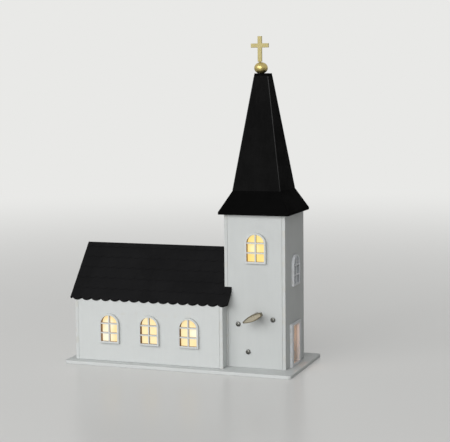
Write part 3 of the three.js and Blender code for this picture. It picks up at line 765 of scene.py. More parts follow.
def arch_points(half: float, foot: float, spring: float, steps: int = 40) -> Outline:
    """Round-arched outline: half width, foot, springing line and steps round the arch.

    Args:
        half: Half width.
        foot: Height of the foot.
        spring: Height where the arch begins.
        steps: Steps round the arch.

    Returns:
        The outline.
    """
    points = [(-half, foot), (half, foot)]
    for i in range(steps + 1):
        a = math.pi * i / steps
        points.append((half * math.cos(a), spring + half * math.sin(a)))
    return points


def rectangle(x0: float, y0: float, x1: float, y1: float) -> Outline:
    """The four corners of a rectangle."""
    return [(x0, y0), (x1, y0), (x1, y1), (x0, y1)]


def rounded_rectangle(x0: float, y0: float, x1: float, y1: float, radius: float, steps: int = 8) -> Outline:
    """A rectangle with round corners.

    Args:
        x0: Left.
        y0: Bottom.
        x1: Right.
        y1: Top.
        radius: Radius of the corners.
        steps: Steps round a corner.

    Returns:
        The outline.
    """
    points = []
    for cx, cy, start in ((x1 - radius, y1 - radius, 0), (x0 + radius, y1 - radius, 90),
                          (x0 + radius, y0 + radius, 180), (x1 - radius, y0 + radius, 270)):
        for i in range(steps + 1):
            a = math.radians(start + 90 * i / steps)
            points.append((cx + radius * math.cos(a), cy + radius * math.sin(a)))
    return points


def moved(points: Outline, dx: float, dy: float) -> Outline:
    """The same outline moved."""
    return [(x + dx, y + dy) for x, y in points]


def board_mesh(name: str, outer: Outline, holes: Sequence[Outline], thickness: float, softness: float,
               matrix: Matrix) -> bpy.types.Object:
    """A flat board with holes and slightly rounded edges.

    Args:
        name: The object's name.
        outer: Its outline, in metres.
        holes: Outlines of the holes, in metres.
        thickness: Its thickness along +Z, in metres.
        softness: Radius of the rounded edges, in metres.
        matrix: Where the drawn board stands.

    Returns:
        A mesh object at the origin.
    """
    curve = bpy.data.curves.new(name, "CURVE")
    curve.dimensions = "2D"
    curve.fill_mode = "BOTH"
    curve.extrude = thickness / 2 - softness
    curve.bevel_depth = softness
    curve.bevel_resolution = 2
    curve.offset = -softness
    for points in [outer, *holes]:
        spline = curve.splines.new("POLY")
        spline.points.add(len(points) - 1)
        for i, (x, y) in enumerate(points):
            spline.points[i].co = (x, y, 0.0, 1.0)
        spline.use_cyclic_u = True
    obj = baked(link(name, curve), name)
    obj.data.transform(matrix @ Matrix.Translation((0, 0, thickness / 2)))
    with edited(obj.data) as bm:
        bmesh.ops.remove_doubles(bm, verts=bm.verts, dist=MERGE)
    obj.data.shade_flat()
    return obj


def softened_copy(node: str, name: str, softness: float) -> bpy.types.Object:
    """A copy of a plain CAD board with its triangles merged and its edges slightly rounded.

    Args:
        node: The CAD node.
        name: The copy's name.
        softness: Width of the bevels, in metres.

    Returns:
        The copy.
    """
    bm = bmesh.new()
    bm.from_mesh(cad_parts[node].data)
    bmesh.ops.remove_doubles(bm, verts=bm.verts, dist=MERGE)
    bmesh.ops.dissolve_limit(bm, angle_limit=math.radians(0.5), verts=bm.verts, edges=bm.edges)
    sharp = [e for e in bm.edges if len(e.link_faces) == 2 and e.calc_face_angle() > math.radians(20)]
    bmesh.ops.bevel(bm, geom=sharp, offset=softness, segments=3, profile=0.5, affect="EDGES",
                    clamp_overlap=True)
    return link(name, mesh_from(bm, name))


def trimmed(obj: bpy.types.Object, point: Vector, outward: Vector) -> None:
    """Take off what lies beyond a plane, and close the cut.

    Args:
        obj: The mesh object.
        point: A point on the plane.
        outward: The plane's normal, toward the side that goes.
    """
    with edited(obj.data) as bm:
        everything = [*bm.verts, *bm.edges, *bm.faces]
        found = bmesh.ops.bisect_plane(
            bm, geom=everything, plane_co=point, plane_no=outward, clear_outer=True)
        rim = [e for e in found["geom_cut"] if isinstance(e, bmesh.types.BMEdge)]
        bmesh.ops.holes_fill(bm, edges=rim, sides=0)


def joined(name: str, parts: Sequence[bpy.types.Object]) -> bpy.types.Object:
    """Join mesh objects at the origin into one that keeps their materials, and remove them.

    Args:
        name: The result's name.
        parts: The objects, with one material each at most.

    Returns:
        The joined object.
    """
    bm = bmesh.new()
    finishes: list[bpy.types.Material] = []
    for part in parts:
        before = len(bm.faces)
        bm.from_mesh(part.data)
        bm.faces.ensure_lookup_table()
        if part.data.materials:
            finish = part.data.materials[0]
            if finish not in finishes:
                finishes.append(finish)
            for face in bm.faces[before:]:
                face.material_index = finishes.index(finish)
        bpy.data.objects.remove(part)
    obj = link(name, mesh_from(bm, name))
    for finish in finishes:
        obj.data.materials.append(finish)
    return obj


def spun(name: str, profile: Sequence[tuple[float, float]], steps: int, matrix: Matrix) -> bpy.types.Object:
    """A closed turned piece from (radius, height) points that start and end on the axis.

    Args:
        name: The object's name.
        profile: The points, in metres.
        steps: Steps round the axis.
        matrix: Takes the Z axis to where the piece stands.

    Returns:
        A mesh object at the origin.
    """
    bm = bmesh.new()
    rings = []
    for radius, height in profile:
        if radius < 1e-9:
            rings.append([bm.verts.new((0.0, 0.0, height))])
        else:
            rings.append([bm.verts.new((x, y, height)) for x, y in circle(radius, steps)])
    for low, high in zip(rings, rings[1:]):
        for i in range(steps):
            j = (i + 1) % steps
            corners = [low[i % len(low)], low[j % len(low)], high[j % len(high)], high[i % len(high)]]
            bm.faces.new(list(dict.fromkeys(corners)))
    bmesh.ops.recalc_face_normals(bm, faces=bm.faces)
    for face in bm.faces:
        face.smooth = True
    obj = link(name, mesh_from(bm, name))
    obj.data.transform(matrix)
    return obj


def centre_of(node: str) -> Vector:
    """Middle of a CAD node's box."""
    low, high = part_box(node)
    return (low + high) / 2


class PlacedCopies:
    """Geometry Nodes tree that sets one piece at many points, each turned about Z."""

    NAME = "placed_copies"

    def __init__(self) -> None:
        """Build the tree once."""
        nodes, given, out = group_tree(
            "GeometryNodeTree", self.NAME,
            {"Points": ("NodeSocketGeometry", None), "Piece": ("NodeSocketObject", None),
             "Finish": ("NodeSocketMaterial", None), "Cut Finish": ("NodeSocketMaterial", None),
             "Size": ("NodeSocketFloat", 1.0)},
            {"Copies": "NodeSocketGeometry"})
        piece = nodes.add("GeometryNodeObjectInfo", {"Object": given["Piece"]}, transform_space="ORIGINAL")
        turn = nodes.add("GeometryNodeInputNamedAttribute", {"Name": "turn"}, data_type="FLOAT")
        angles = nodes.add("ShaderNodeCombineXYZ", {2: turn.outputs[0]})
        points = nodes.add("GeometryNodeMeshToPoints", {"Mesh": given["Points"]})
        copies = nodes.add("GeometryNodeInstanceOnPoints", {
            "Points": points.outputs[0], "Instance": piece.outputs["Geometry"],
            "Rotation": angles.outputs[0], "Scale": given["Size"]})
        real = nodes.add("GeometryNodeRealizeInstances", {0: copies.outputs[0]})
        painted = nodes.add("GeometryNodeSetMaterial", {
            "Geometry": real.outputs[0], "Material": given["Finish"]})
        is_cut = nodes.add("GeometryNodeInputNamedAttribute", {"Name": CUT_FACES}, data_type="BOOLEAN")
        bare = nodes.add("GeometryNodeSetMaterial", {
            "Geometry": painted.outputs[0], "Selection": is_cut.outputs[0], "Material": given["Cut Finish"]})
        nodes.put(out.inputs[0], bare.outputs[0])
        self.tree = nodes.tree

    def build(self, name: str, piece: bpy.types.Object, spots: Sequence[tuple[Vector, float]],
              finish: bpy.types.Material, cut_finish: bpy.types.Material) -> bpy.types.Object:
        """Set copies of a piece at (point, turn in degrees), and return them as one mesh object.

        Args:
            name: Name of the result.
            piece: The piece, drawn at the origin. It is removed.
            spots: Where the copies go and how they are turned.
            finish: Their material.
            cut_finish: Material of the faces that the piece marks as cut.

        Returns:
            One mesh object at the origin.
        """
        carrier = bpy.data.meshes.new(name + "_points")
        carrier.from_pydata([tuple(p) for p, _ in spots], [], [])
        turns = carrier.attributes.new("turn", "FLOAT", "POINT")
        turns.data.foreach_set("value", [math.radians(t) for _, t in spots])
        obj = link(name, carrier)
        run_tree(obj, self.tree, {"Piece": piece, "Finish": finish, "Cut Finish": cut_finish, "Size": 1.0})
        result = baked(obj, name)
        bpy.data.objects.remove(piece)
        return result


def run_tree(obj: bpy.types.Object, tree: bpy.types.NodeTree, values: dict) -> None:
    """Put a Geometry Nodes modifier on an object and set its named inputs by their identifiers.

    Args:
        obj: The object.
        tree: The tree.
        values: Input name to value.
    """
    modifier = obj.modifiers.new(tree.name, "NODES")
    modifier.node_group = tree
    for item in tree.interface.items_tree:
        if item.item_type == "SOCKET" and item.in_out == "INPUT" and item.name in values:
            modifier[item.identifier] = values[item.name]


class ShingleSheet:
    """Geometry Nodes tree of a board carved into overlapping rows of round-ended shingles.

    The board is drawn with X across, Y down the slope from its top edge, and Z outward. Each row slopes out
    to its lower edge and steps back to the next row. The rows end in arcs, and every second row is set half
    a shingle to the side. A trimming solid cuts the board's own outline out of it.
    """

    NAME = "shingle_sheet"
    # How far a row's foot reaches under the row above, and what counts as one point, in metres
    TUCK = 0.00006
    WELD = 1e-7

    def __init__(self) -> None:
        """Build the tree once."""
        sizes = ("Width", "Depth", "Pitch", "Course", "First", "Sag", "Relief", "Thickness")
        inputs = {label: ("NodeSocketFloat", 0.01) for label in sizes}
        inputs |= {"Rows": ("NodeSocketInt", 5), "Columns": ("NodeSocketInt", 16),
                   "Steps": ("NodeSocketInt", 12), "Trim": ("NodeSocketObject", None),
                   "Finish": ("NodeSocketMaterial", None)}
        nodes, given, out = group_tree("GeometryNodeTree", self.NAME, inputs, {"Board": "NodeSocketGeometry"})
        m = nodes.math

        across = m("ADD", m("MULTIPLY", given["Columns"], given["Steps"]), 1.0)
        down = m("MULTIPLY", given["Rows"], 2.0)
        grid = nodes.add("GeometryNodeMeshGrid", {"Size X": given["Width"], "Size Y": 1.0,
                                                  "Vertices X": across, "Vertices Y": down})
        place = nodes.add("ShaderNodeSeparateXYZ", {0: nodes.add("GeometryNodeInputPosition").outputs[0]})
        x, y = place.outputs[0], place.outputs[1]
        line = m("ROUND", m("MULTIPLY", m("ADD", y, 0.5), m("SUBTRACT", down, 1.0)))
        edge = m("MAXIMUM", m("FLOOR", m("DIVIDE", m("SUBTRACT", line, 1.0), 2.0)), 0.0)
        is_top = m("LESS_THAN", line, 0.5)
        is_lip = m("MODULO", line, 2.0)

        from_last = m("SUBTRACT", m("SUBTRACT", given["Rows"], 1.0), edge)
        shift = m("MULTIPLY", m("MODULO", from_last, 2.0), 0.5)
        cell = m("DIVIDE", m("ADD", x, m("MULTIPLY", given["Width"], 0.5)), given["Pitch"])
        share = m("FRACT", m("ADD", m("ADD", cell, shift), 1e-5))
        local = m("MULTIPLY", m("SUBTRACT", share, 0.5), given["Pitch"])
        quarter = m("DIVIDE", m("MULTIPLY", given["Pitch"], given["Pitch"]), 8.0)
        radius = m("ADD", m("DIVIDE", quarter, given["Sag"]), m("MULTIPLY", given["Sag"], 0.5))
        rise = m("SQRT", m("SUBTRACT", m("MULTIPLY", radius, radius), m("MULTIPLY", local, local)))
        drop = m("MAXIMUM", m("ADD", m("SUBTRACT", rise, radius), given["Sag"]), 0.0)
        foot = m("MINIMUM", m("ADD", given["First"], m("MULTIPLY", edge, given["Course"])), given["Depth"])
        tuck = m("MULTIPLY", m("SUBTRACT", 1.0, is_lip), self.TUCK)
        slope_y = m("ADD", m("ADD", m("SUBTRACT", foot, given["Sag"]), drop), tuck)
        slope_y = m("MULTIPLY", slope_y, m("SUBTRACT", 1.0, is_top))
        low = m("MULTIPLY", given["Relief"], -1.0)
        height = m("MULTIPLY", low, m("SUBTRACT", 1.0, is_lip))
        there = nodes.add("ShaderNodeCombineXYZ", {0: x, 1: slope_y, 2: height})
        top = nodes.add("GeometryNodeSetPosition", {
            "Geometry": grid.outputs["Mesh"], "Position": there.outputs[0]})

        down_vector = nodes.add("ShaderNodeCombineXYZ", {2: -1.0})
        walls = nodes.add("GeometryNodeExtrudeMesh", {
            "Mesh": top.outputs[0], "Offset": down_vector.outputs[0], "Offset Scale": given["Thickness"],
            "Individual": False}, mode="FACES")
        under = nodes.add("ShaderNodeSeparateXYZ", {0: nodes.add("GeometryNodeInputPosition").outputs[0]})
        flat = nodes.add("ShaderNodeCombineXYZ", {
            0: under.outputs[0], 1: under.outputs[1], 2: m("MULTIPLY", given["Thickness"], -1.0)})
        level = nodes.add("GeometryNodeSetPosition", {
            "Geometry": walls.outputs["Mesh"], "Selection": walls.outputs["Top"],
            "Position": flat.outputs[0]})
        turned = nodes.add("GeometryNodeFlipFaces", {0: level.outputs[0]})
        both = nodes.add("GeometryNodeJoinGeometry")
        nodes.put(both.inputs[0], turned.outputs[0])
        nodes.put(both.inputs[0], top.outputs[0])
        closed = nodes.add("GeometryNodeMergeByDistance", {
            "Geometry": both.outputs[0], "Distance": self.WELD})
        trim = nodes.add("GeometryNodeObjectInfo", {"Object": given["Trim"]}, transform_space="RELATIVE")
        cut = nodes.add("GeometryNodeMeshBoolean", operation="INTERSECT", solver="EXACT")
        nodes.put(cut.inputs["Mesh 2"], trim.outputs["Geometry"])
        nodes.put(cut.inputs["Mesh 2"], closed.outputs[0])
        real = nodes.add("GeometryNodeRealizeInstances", {0: cut.outputs[0]})
        painted = nodes.add("GeometryNodeSetMaterial", {
            "Geometry": real.outputs[0], "Material": given["Finish"]})
        nodes.put(out.inputs[0], painted.outputs[0])
        self.tree = nodes.tree

    def build(self, name: str, place: Matrix, trim: bpy.types.Object, finish: bpy.types.Material,
              sizes: dict) -> bpy.types.Object:
        """Make one board.

        Args:
            name: Name of the result.
            place: Where the drawn board stands.
            trim: Solid that the board is kept inside. It is removed.
            finish: Its material.
            sizes: The tree's named inputs.

        Returns:
            One mesh object at the origin.
        """
        obj = link(name, bpy.data.meshes.new(name + "_seed"))
        obj.matrix_world = place
        bpy.context.view_layer.update()
        run_tree(obj, self.tree, {**sizes, "Trim": trim, "Finish": finish})
        result = baked(obj, name)
        bpy.data.objects.remove(trim)
        return result


def prism(name: str, points: Outline, z0: float, z1: float) -> bpy.types.Object:
    """An upright solid over an outline.

    Args:
        name: The object's name.
        points: The outline, in metres.
        z0: Bottom, in metres.
        z1: Top, in metres.

    Returns:
        The solid.
    """
    bm = bmesh.new()
    low = [bm.verts.new((x, y, z0)) for x, y in points]
    high = [bm.verts.new((x, y, z1)) for x, y in points]
    bm.faces.new(low)
    bm.faces.new(high)
    for i in range(len(points)):
        j = (i + 1) % len(points)
        bm.faces.new((low[i], low[j], high[j], high[i]))
    bmesh.ops.recalc_face_normals(bm, faces=bm.faces)
    return link(name, mesh_from(bm, name))


@dataclass(frozen=True)
class Shingles:
    """Sizes of one shingle pattern, in millimetres."""

    columns: int = 18
    pitch: float = 11.06
    course: float = 13.4
    sag: float = 2.3
    relief: float = 0.35
    thickness: float = 3.0

    def sizes(self, depth: float, rows: int, steps: int) -> dict:
        """Inputs of the sheet's tree for one slope.

        Args:
            depth: Depth of the slope from its top to its lowest edge, in millimetres.
            rows: Number of rows.
            steps: Steps across one shingle.

        Returns:
            Input name to value, the lengths in metres.
        """
        lengths = {
            "Width": self.pitch * self.columns, "Depth": depth, "Pitch": self.pitch, "Course": self.course,
            "First": depth - (rows - 1) * self.course, "Sag": self.sag, "Relief": self.relief,
            "Thickness": self.thickness}
        counts = {"Rows": rows, "Columns": self.columns, "Steps": steps}
        return {label: length * MM for label, length in lengths.items()} | counts


def slope_matrix(down: Vector, out: Vector, top: Vector) -> Matrix:
    """Matrix that takes a drawn shingle board to a slope with its top edge's middle at a point.

    Args:
        down: Direction down the slope.
        out: Direction out of the slope.
        top: Middle of the top edge.

    Returns:
        The matrix.
    """
    place = Matrix((down.cross(out), down, out)).transposed().to_4x4()
    place.translation = top
    return place


@dataclass(frozen=True)
class RoofShape:
    """The nave roof's outside, in millimetres."""

    ridge: float = 125.9
    eave_half: float = 48.7
    eave_z: float = 70.4
    left: float = -122.6
    right: float = 56.5
    valley: float = -109.9

    @property
    def slope(self) -> float:
        """Angle of a slope above the level, in radians."""
        return math.atan2(self.ridge - self.eave_z, self.eave_half)


ROOF = RoofShape()


@dataclass
class WindowFrames:
    """Raised frames round the windows, with a mullion and two crossbars."""

    half: float = 11.3
    height: float = 31.9
    leg: float = 1.9
    foot: float = 2.1
    lap: float = 1.2
    bar: float = 1.6
    crossbars: tuple = (11.1, 21.3)
    proud: float = 3.0
    recess: float = 0.4
    bar_depth: float = 2.2
    softness: float = 0.3
    bar_softness: float = 0.2
    slack: float = 0.4
    turns: dict = field(default_factory=lambda: {"front": 0.0, "back": 180.0, "gable": -90.0, "side": 90.0})

    def opening(self, x: float, foot: float) -> Outline:
        """Outline of the hole in a wall behind a frame, in metres.

        Args:
            x: The window's middle across the wall, in millimetres.
            foot: The frame's foot, in millimetres.

        Returns:
            The outline.
        """
        half = self.half - self.lap
        points = arch_points(half * MM, (foot + self.lap) * MM, (foot + self.height - self.half) * MM)
        return moved(points, x * MM, 0.0)

    def panes(self) -> list[Outline]:
        """Outlines of the six openings between the bars, in millimetres.

        Returns:
            The six outlines.
        """
        half = radius = self.half - self.leg
        bar = self.bar / 2
        spring = self.height - self.half
        low, high = self.crossbars
        right = [rectangle(bar, self.foot, half, low - bar), rectangle(bar, low + bar, half, high - bar)]
        start = math.asin(max(high + bar - spring, 0.0) / radius)
        stop = math.acos(bar / radius)
        turn = [start + (stop - start) * i / 16 for i in range(17)]
        curve = [(radius * math.cos(a), spring + radius * math.sin(a)) for a in turn]
        right.append([(bar, high + bar), *curve])
        return right + [[(-x, z) for x, z in reversed(pane)] for pane in right]

    def one(self) -> bpy.types.Object:
        """One frame standing in the XZ plane, its back on y = 0 and its foot at the origin.

        Returns:
            The frame.
        """
        spring = (self.height - self.half) * MM
        upright = Facing.FRONT.matrix((0, 0, 0))
        ring = board_mesh("frame_ring", arch_points(self.half * MM, 0.0, spring),
                          [arch_points((self.half - self.leg) * MM, self.foot * MM, spring)],
                          self.proud * MM, self.softness * MM, upright)
        back = Facing.FRONT.matrix((0, -(self.proud - self.recess - self.bar_depth) * MM, 0))
        lap = self.leg / 2
        grid = arch_points((self.half - lap) * MM, lap * MM, spring)
        panes = [metres(pane) for pane in self.panes()]
        bars = board_mesh("frame_bars", grid, panes, self.bar_depth * MM, self.bar_softness * MM, back)
        frame_piece = joined("window_frame", [ring, bars])
        self._mark_cuts(frame_piece.data)
        return frame_piece

    def _mark_cuts(self, mesh: bpy.types.Mesh) -> None:
        """Mark the faces that line the openings.

        Args:
            mesh: The frame's mesh.
        """
        spring = self.height - self.half
        reach = self.half - self.leg + self.slack
        marks = []
        for face in mesh.polygons:
            x, z = face.center.x / MM, face.center.z / MM
            lines = z > self.foot - self.slack and math.hypot(x, max(z - spring, 0.0)) < reach
            marks.append(lines and abs(face.normal.y) < SIDE_FACE)
        mesh.attributes.new(CUT_FACES, "BOOLEAN", "FACE").data.foreach_set("value", marks)

    def build(self, copies: PlacedCopies, finishes: Wardrobe) -> None:
        """Set a frame at every window. The one above the doorway is painted all round, in the brighter copy
        of the white paint: a painted highlight.

        Args:
            copies: The tree that sets the copies.
            finishes: The church's finishes.
        """
        nodes = sorted(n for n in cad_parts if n.startswith("window_"))
        side = [n for n in nodes if "side" in n]
        rows = (("window_frames", [n for n in nodes if n not in side], finishes.cut),
                ("side_window_frame", side, finishes.highlight_trim))
        for name, row, edge in rows:
            paint = finishes.highlight_trim if row is side else finishes.trim
            frames = copies.build(name, self.one(), [self._spot(n) for n in row], paint, edge)
            dressed(frames, Body.CHURCH, Slot.WHITE, row)

    def _spot(self, node: str) -> tuple[Vector, float]:
        """Where a frame's foot stands on its wall, and how it is turned.

        Args:
            node: The frame's CAD node.

        Returns:
            The point, and the turn in degrees.
        """
        low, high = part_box(node)
        turn = next(t for word, t in self.turns.items() if word in node)
        centre = (low + high) / 2
        back = {0.0: (centre.x, high.y), 180.0: (centre.x, low.y),
                -90.0: (high.x, centre.y), 90.0: (low.x, centre.y)}[turn]
        return Vector((*back, low.z)), turn


@dataclass
class Walls:
    """White boards: base, nave walls, tower walls and the door's surround."""

    softness: float = 0.35
    base_softness: float = 0.6
    base_corner: float = 4.0
    battery_opening: tuple = (-78.0, -21.6, 12.0, 21.6)
    screw_hole: float = 1.5
    arbor_hole: float = 2.5
    door_middle: float = -3.4
    door_half: float = 9.9
    door_sill: float = 6.6
    door_top: float = 46.3
    windows: WindowFrames = field(default_factory=WindowFrames)

    def _window_holes(self, nodes: Iterable[str], axis: int) -> list[Outline]:
        """Holes behind some frames, drawn across one axis.

        Args:
            nodes: The frames' CAD nodes.
            axis: 1 for X or 2 for Y, negative if mirrored.

        Returns:
            The outlines, in metres.
        """
        sign = -1.0 if axis < 0 else 1.0
        holes = []
        for node in nodes:
            low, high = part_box(node)
            middle = (low + high) / 2
            holes.append(self.windows.opening(sign * middle[abs(axis) - 1] / MM, low.z / MM))
        return holes

    def _cut_faces(self, obj: bpy.types.Object, holes: Sequence[Outline], facing: Facing) -> None:
        """Give the inner faces of the holes the second material, the bare cut edge.

        Args:
            obj: The board.
            holes: The holes, in metres.
            facing: The way it looks.
        """
        across = Vector(facing.value[0])
        outward = Vector(facing.value[2])
        slack = 2e-4
        for face in obj.data.polygons:
            if abs(face.normal.dot(outward)) > SIDE_FACE:
                continue
            u, z = face.center.dot(across), face.center.z
            for hole in holes:
                us, zs = zip(*hole)
                if min(us) - slack < u < max(us) + slack and min(zs) - slack < z < max(zs) + slack:
                    face.material_index = 1

    def wall(self, node: str, facing: Facing, outer: Outline, holes: Sequence[Outline], finishes: Wardrobe,
             bare: Sequence[Outline] = ()) -> bpy.types.Object:
        """One wall board in place of its node.

        Args:
            node: The CAD node.
            facing: The way its outside looks.
            outer: Its outline across and up, in metres.
            holes: Its holes, drawn the same way.
            finishes: The church's finishes.
            bare: Those of the holes whose edges are bare wood.

        Returns:
            The board.
        """
        low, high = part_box(node)
        out = Vector(facing.value[2])
        depth = abs((high - low).dot(out))
        inner = low if out.dot(Vector((1, 1, 1))) > 0 else high
        origin = Vector([inner[i] if abs(out[i]) > 0.5 else 0.0 for i in range(3)])
        obj = board_mesh(node + "_board", outer, holes, depth, self.softness * MM, facing.matrix(origin))
        obj.data.materials.append(finishes.wall)
        obj.data.materials.append(finishes.cut)
        self._cut_faces(obj, bare, facing)
        return dressed(obj, Body.CHURCH, Slot.WHITE, [node])

    def _plain(self, node: str, axis: int) -> Outline:
        """Rectangle of a node's box across an axis and up.

        Args:
            node: The CAD node.
            axis: 1 for X or 2 for Y, negative if mirrored.

        Returns:
            The outline, in metres.
        """
        low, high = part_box(node)
        i = abs(axis) - 1
        a, b = (low[i], high[i]) if axis > 0 else (-high[i], -low[i])
        return rectangle(a, low.z, b, high.z)

    def doorway(self) -> Outline:
        """Outline of the doorway, in metres."""
        y0, y1 = self.door_middle - self.door_half, self.door_middle + self.door_half
        return metres(rectangle(y0, self.door_sill, y1, self.door_top))

    def build(self, finishes: Wardrobe) -> None:
        """Make every white board.

        Args:
            finishes: The church's finishes.
        """
        self._base(finishes)
        self._nave(finishes)
        self._tower(finishes)

    def _base(self, finishes: Wardrobe) -> None:
        """Base plate with its opening for the battery box.

        Args:
            finishes: The church's finishes.
        """
        low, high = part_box("base_plate")
        opening = metres(rectangle(*self.battery_opening))
        outer = rounded_rectangle(low.x, low.y, high.x, high.y, self.base_corner * MM)
        stand = Facing.UP.matrix((0, 0, low.z))
        softness = self.base_softness * MM
        base = board_mesh("base_plate_board", outer, [opening], high.z - low.z, softness, stand)
        dressed(base, Body.CHURCH, Slot.WHITE, ["base_plate"], finishes.floor_board)

    def _nave(self, finishes: Wardrobe) -> None:
        """Nave walls with bevelled tops, gable and end strips.

        Args:
            finishes: The church's finishes.
        """
        low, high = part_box("nave_gable_wall")
        eave = high.z - high.y * math.tan(ROOF.slope)
        for side, facing, axis in (("front", Facing.FRONT, 1), ("back", Facing.BACK, -1)):
            node = f"nave_{side}_wall"
            frames = [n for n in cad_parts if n.startswith(f"window_nave_{side}")]
            holes = self._window_holes(frames, axis)
            board = self.wall(node, facing, self._plain(node, axis), holes, finishes, holes)
            out = Vector((0, -axis * math.sin(ROOF.slope), math.cos(ROOF.slope)))
            trimmed(board, Vector((0, -axis * high.y, eave)), out)
        gable = [(low.y, low.z), (high.y, low.z), (high.y, eave), (0.0, high.z), (low.y, eave)]
        hole = self._window_holes(["window_gable"], -2)
        self.wall("nave_gable_wall", Facing.LEFT, gable, hole, finishes, hole)
        for side, sign in (("front", -1.0), ("back", 1.0)):
            node = f"nave_end_strip_{side}"
            low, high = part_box(node)
            near, far = sorted((abs(low.y), abs(high.y)))
            strip = [(sign * near, low.z), (sign * far, low.z), (sign * far, eave), (sign * near, high.z)]
            self.wall(node, Facing.RIGHT, strip, [], finishes)

    def _tower(self, finishes: Wardrobe) -> None:
        """Tower walls and the door's surround.

        Args:
            finishes: The church's finishes.
        """
        screws = [centre_of(f"mounting_screw_{i}") for i in (1, 2, 3)]
        holes = [moved(circle(self.screw_hole * MM), s.x, s.z) for s in screws]
        arbor = centre_of("winding_arbor")
        holes.append(moved(circle(self.arbor_hole * MM), arbor.x, arbor.z))
        window = self._window_holes(["window_tower_front"], 1)
        side = self._window_holes(["window_tower_side"], 2)
        door = self.doorway()
        boards = (
            ("front", Facing.FRONT, 1, window + holes, window), ("back", Facing.BACK, -1, [], []),
            ("left", Facing.LEFT, -2, [], []), ("right", Facing.RIGHT, 2, [door, *side], []),
        )
        for word, facing, axis, cuts, bare in boards:
            node = f"tower_{word}_wall"
            board = self.wall(node, facing, self._plain(node, axis), cuts, finishes, bare)
            # Painted shade: the tower's walls take the darker copy of the white paint
            board.data.materials[0] = finishes.tower_wall_shaded
        surround = self.wall("door_surround", Facing.RIGHT, self._plain("door_surround", 2), [door], finishes)
        # Painted highlight: the surround takes the brighter copy of the white paint
        surround.data.materials[0] = finishes.highlight_trim


@dataclass
class Roof:
    """Two shingled slopes, mitred at the ridge and notched round the tower, in millimetres."""

    gap: float = 0.1
    rows: int = 6
    steps: int = 12
    past_eave: float = 70.0
    trim_top: float = 300.0
    shape: RoofShape = ROOF
    pattern: Shingles = field(default_factory=Shingles)

    def _plan(self) -> Outline:
        """The front slope's outline from above, on the positive side.

        Returns:
            The outline, in millimetres.
        """
        low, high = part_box("tower_left_wall")
        s, tower, half = self.shape, low.x / MM - self.gap, high.y / MM + self.gap
        inner, outer = self.gap / 2, self.past_eave
        return [(s.left, inner), (tower, inner), (tower, half), (s.right, half), (s.right, outer),
                (s.left, outer)]

    def build(self, sheet: ShingleSheet, finishes: Wardrobe) -> None:
        """Make both slopes.

        Args:
            sheet: The tree that carves the shingles.
            finishes: The church's finishes.
        """
        s, p = self.shape, self.pattern
        depth = s.eave_half / math.cos(s.slope)
        middle = s.valley + (p.columns / 2 - 2) * p.pitch
        for side, sign in (("front", -1.0), ("back", 1.0)):
            down = Vector((0, sign * math.cos(s.slope), -math.sin(s.slope)))
            out = Vector((0, sign * math.sin(s.slope), math.cos(s.slope)))
            place = slope_matrix(down, out, Vector((middle, 0, s.ridge)) * MM)
            plan = metres([(x, sign * y) for x, y in self._plan()])
            trim = prism("roof_trim", plan, 0.0, self.trim_top * MM)
            sizes = p.sizes(depth, self.rows, self.steps)
            obj = sheet.build(f"roof_{side}_shingles", place, trim, finishes.shingles, sizes)
            dressed(obj, Body.CHURCH, Slot.BLACK, [f"roof_{side}"])


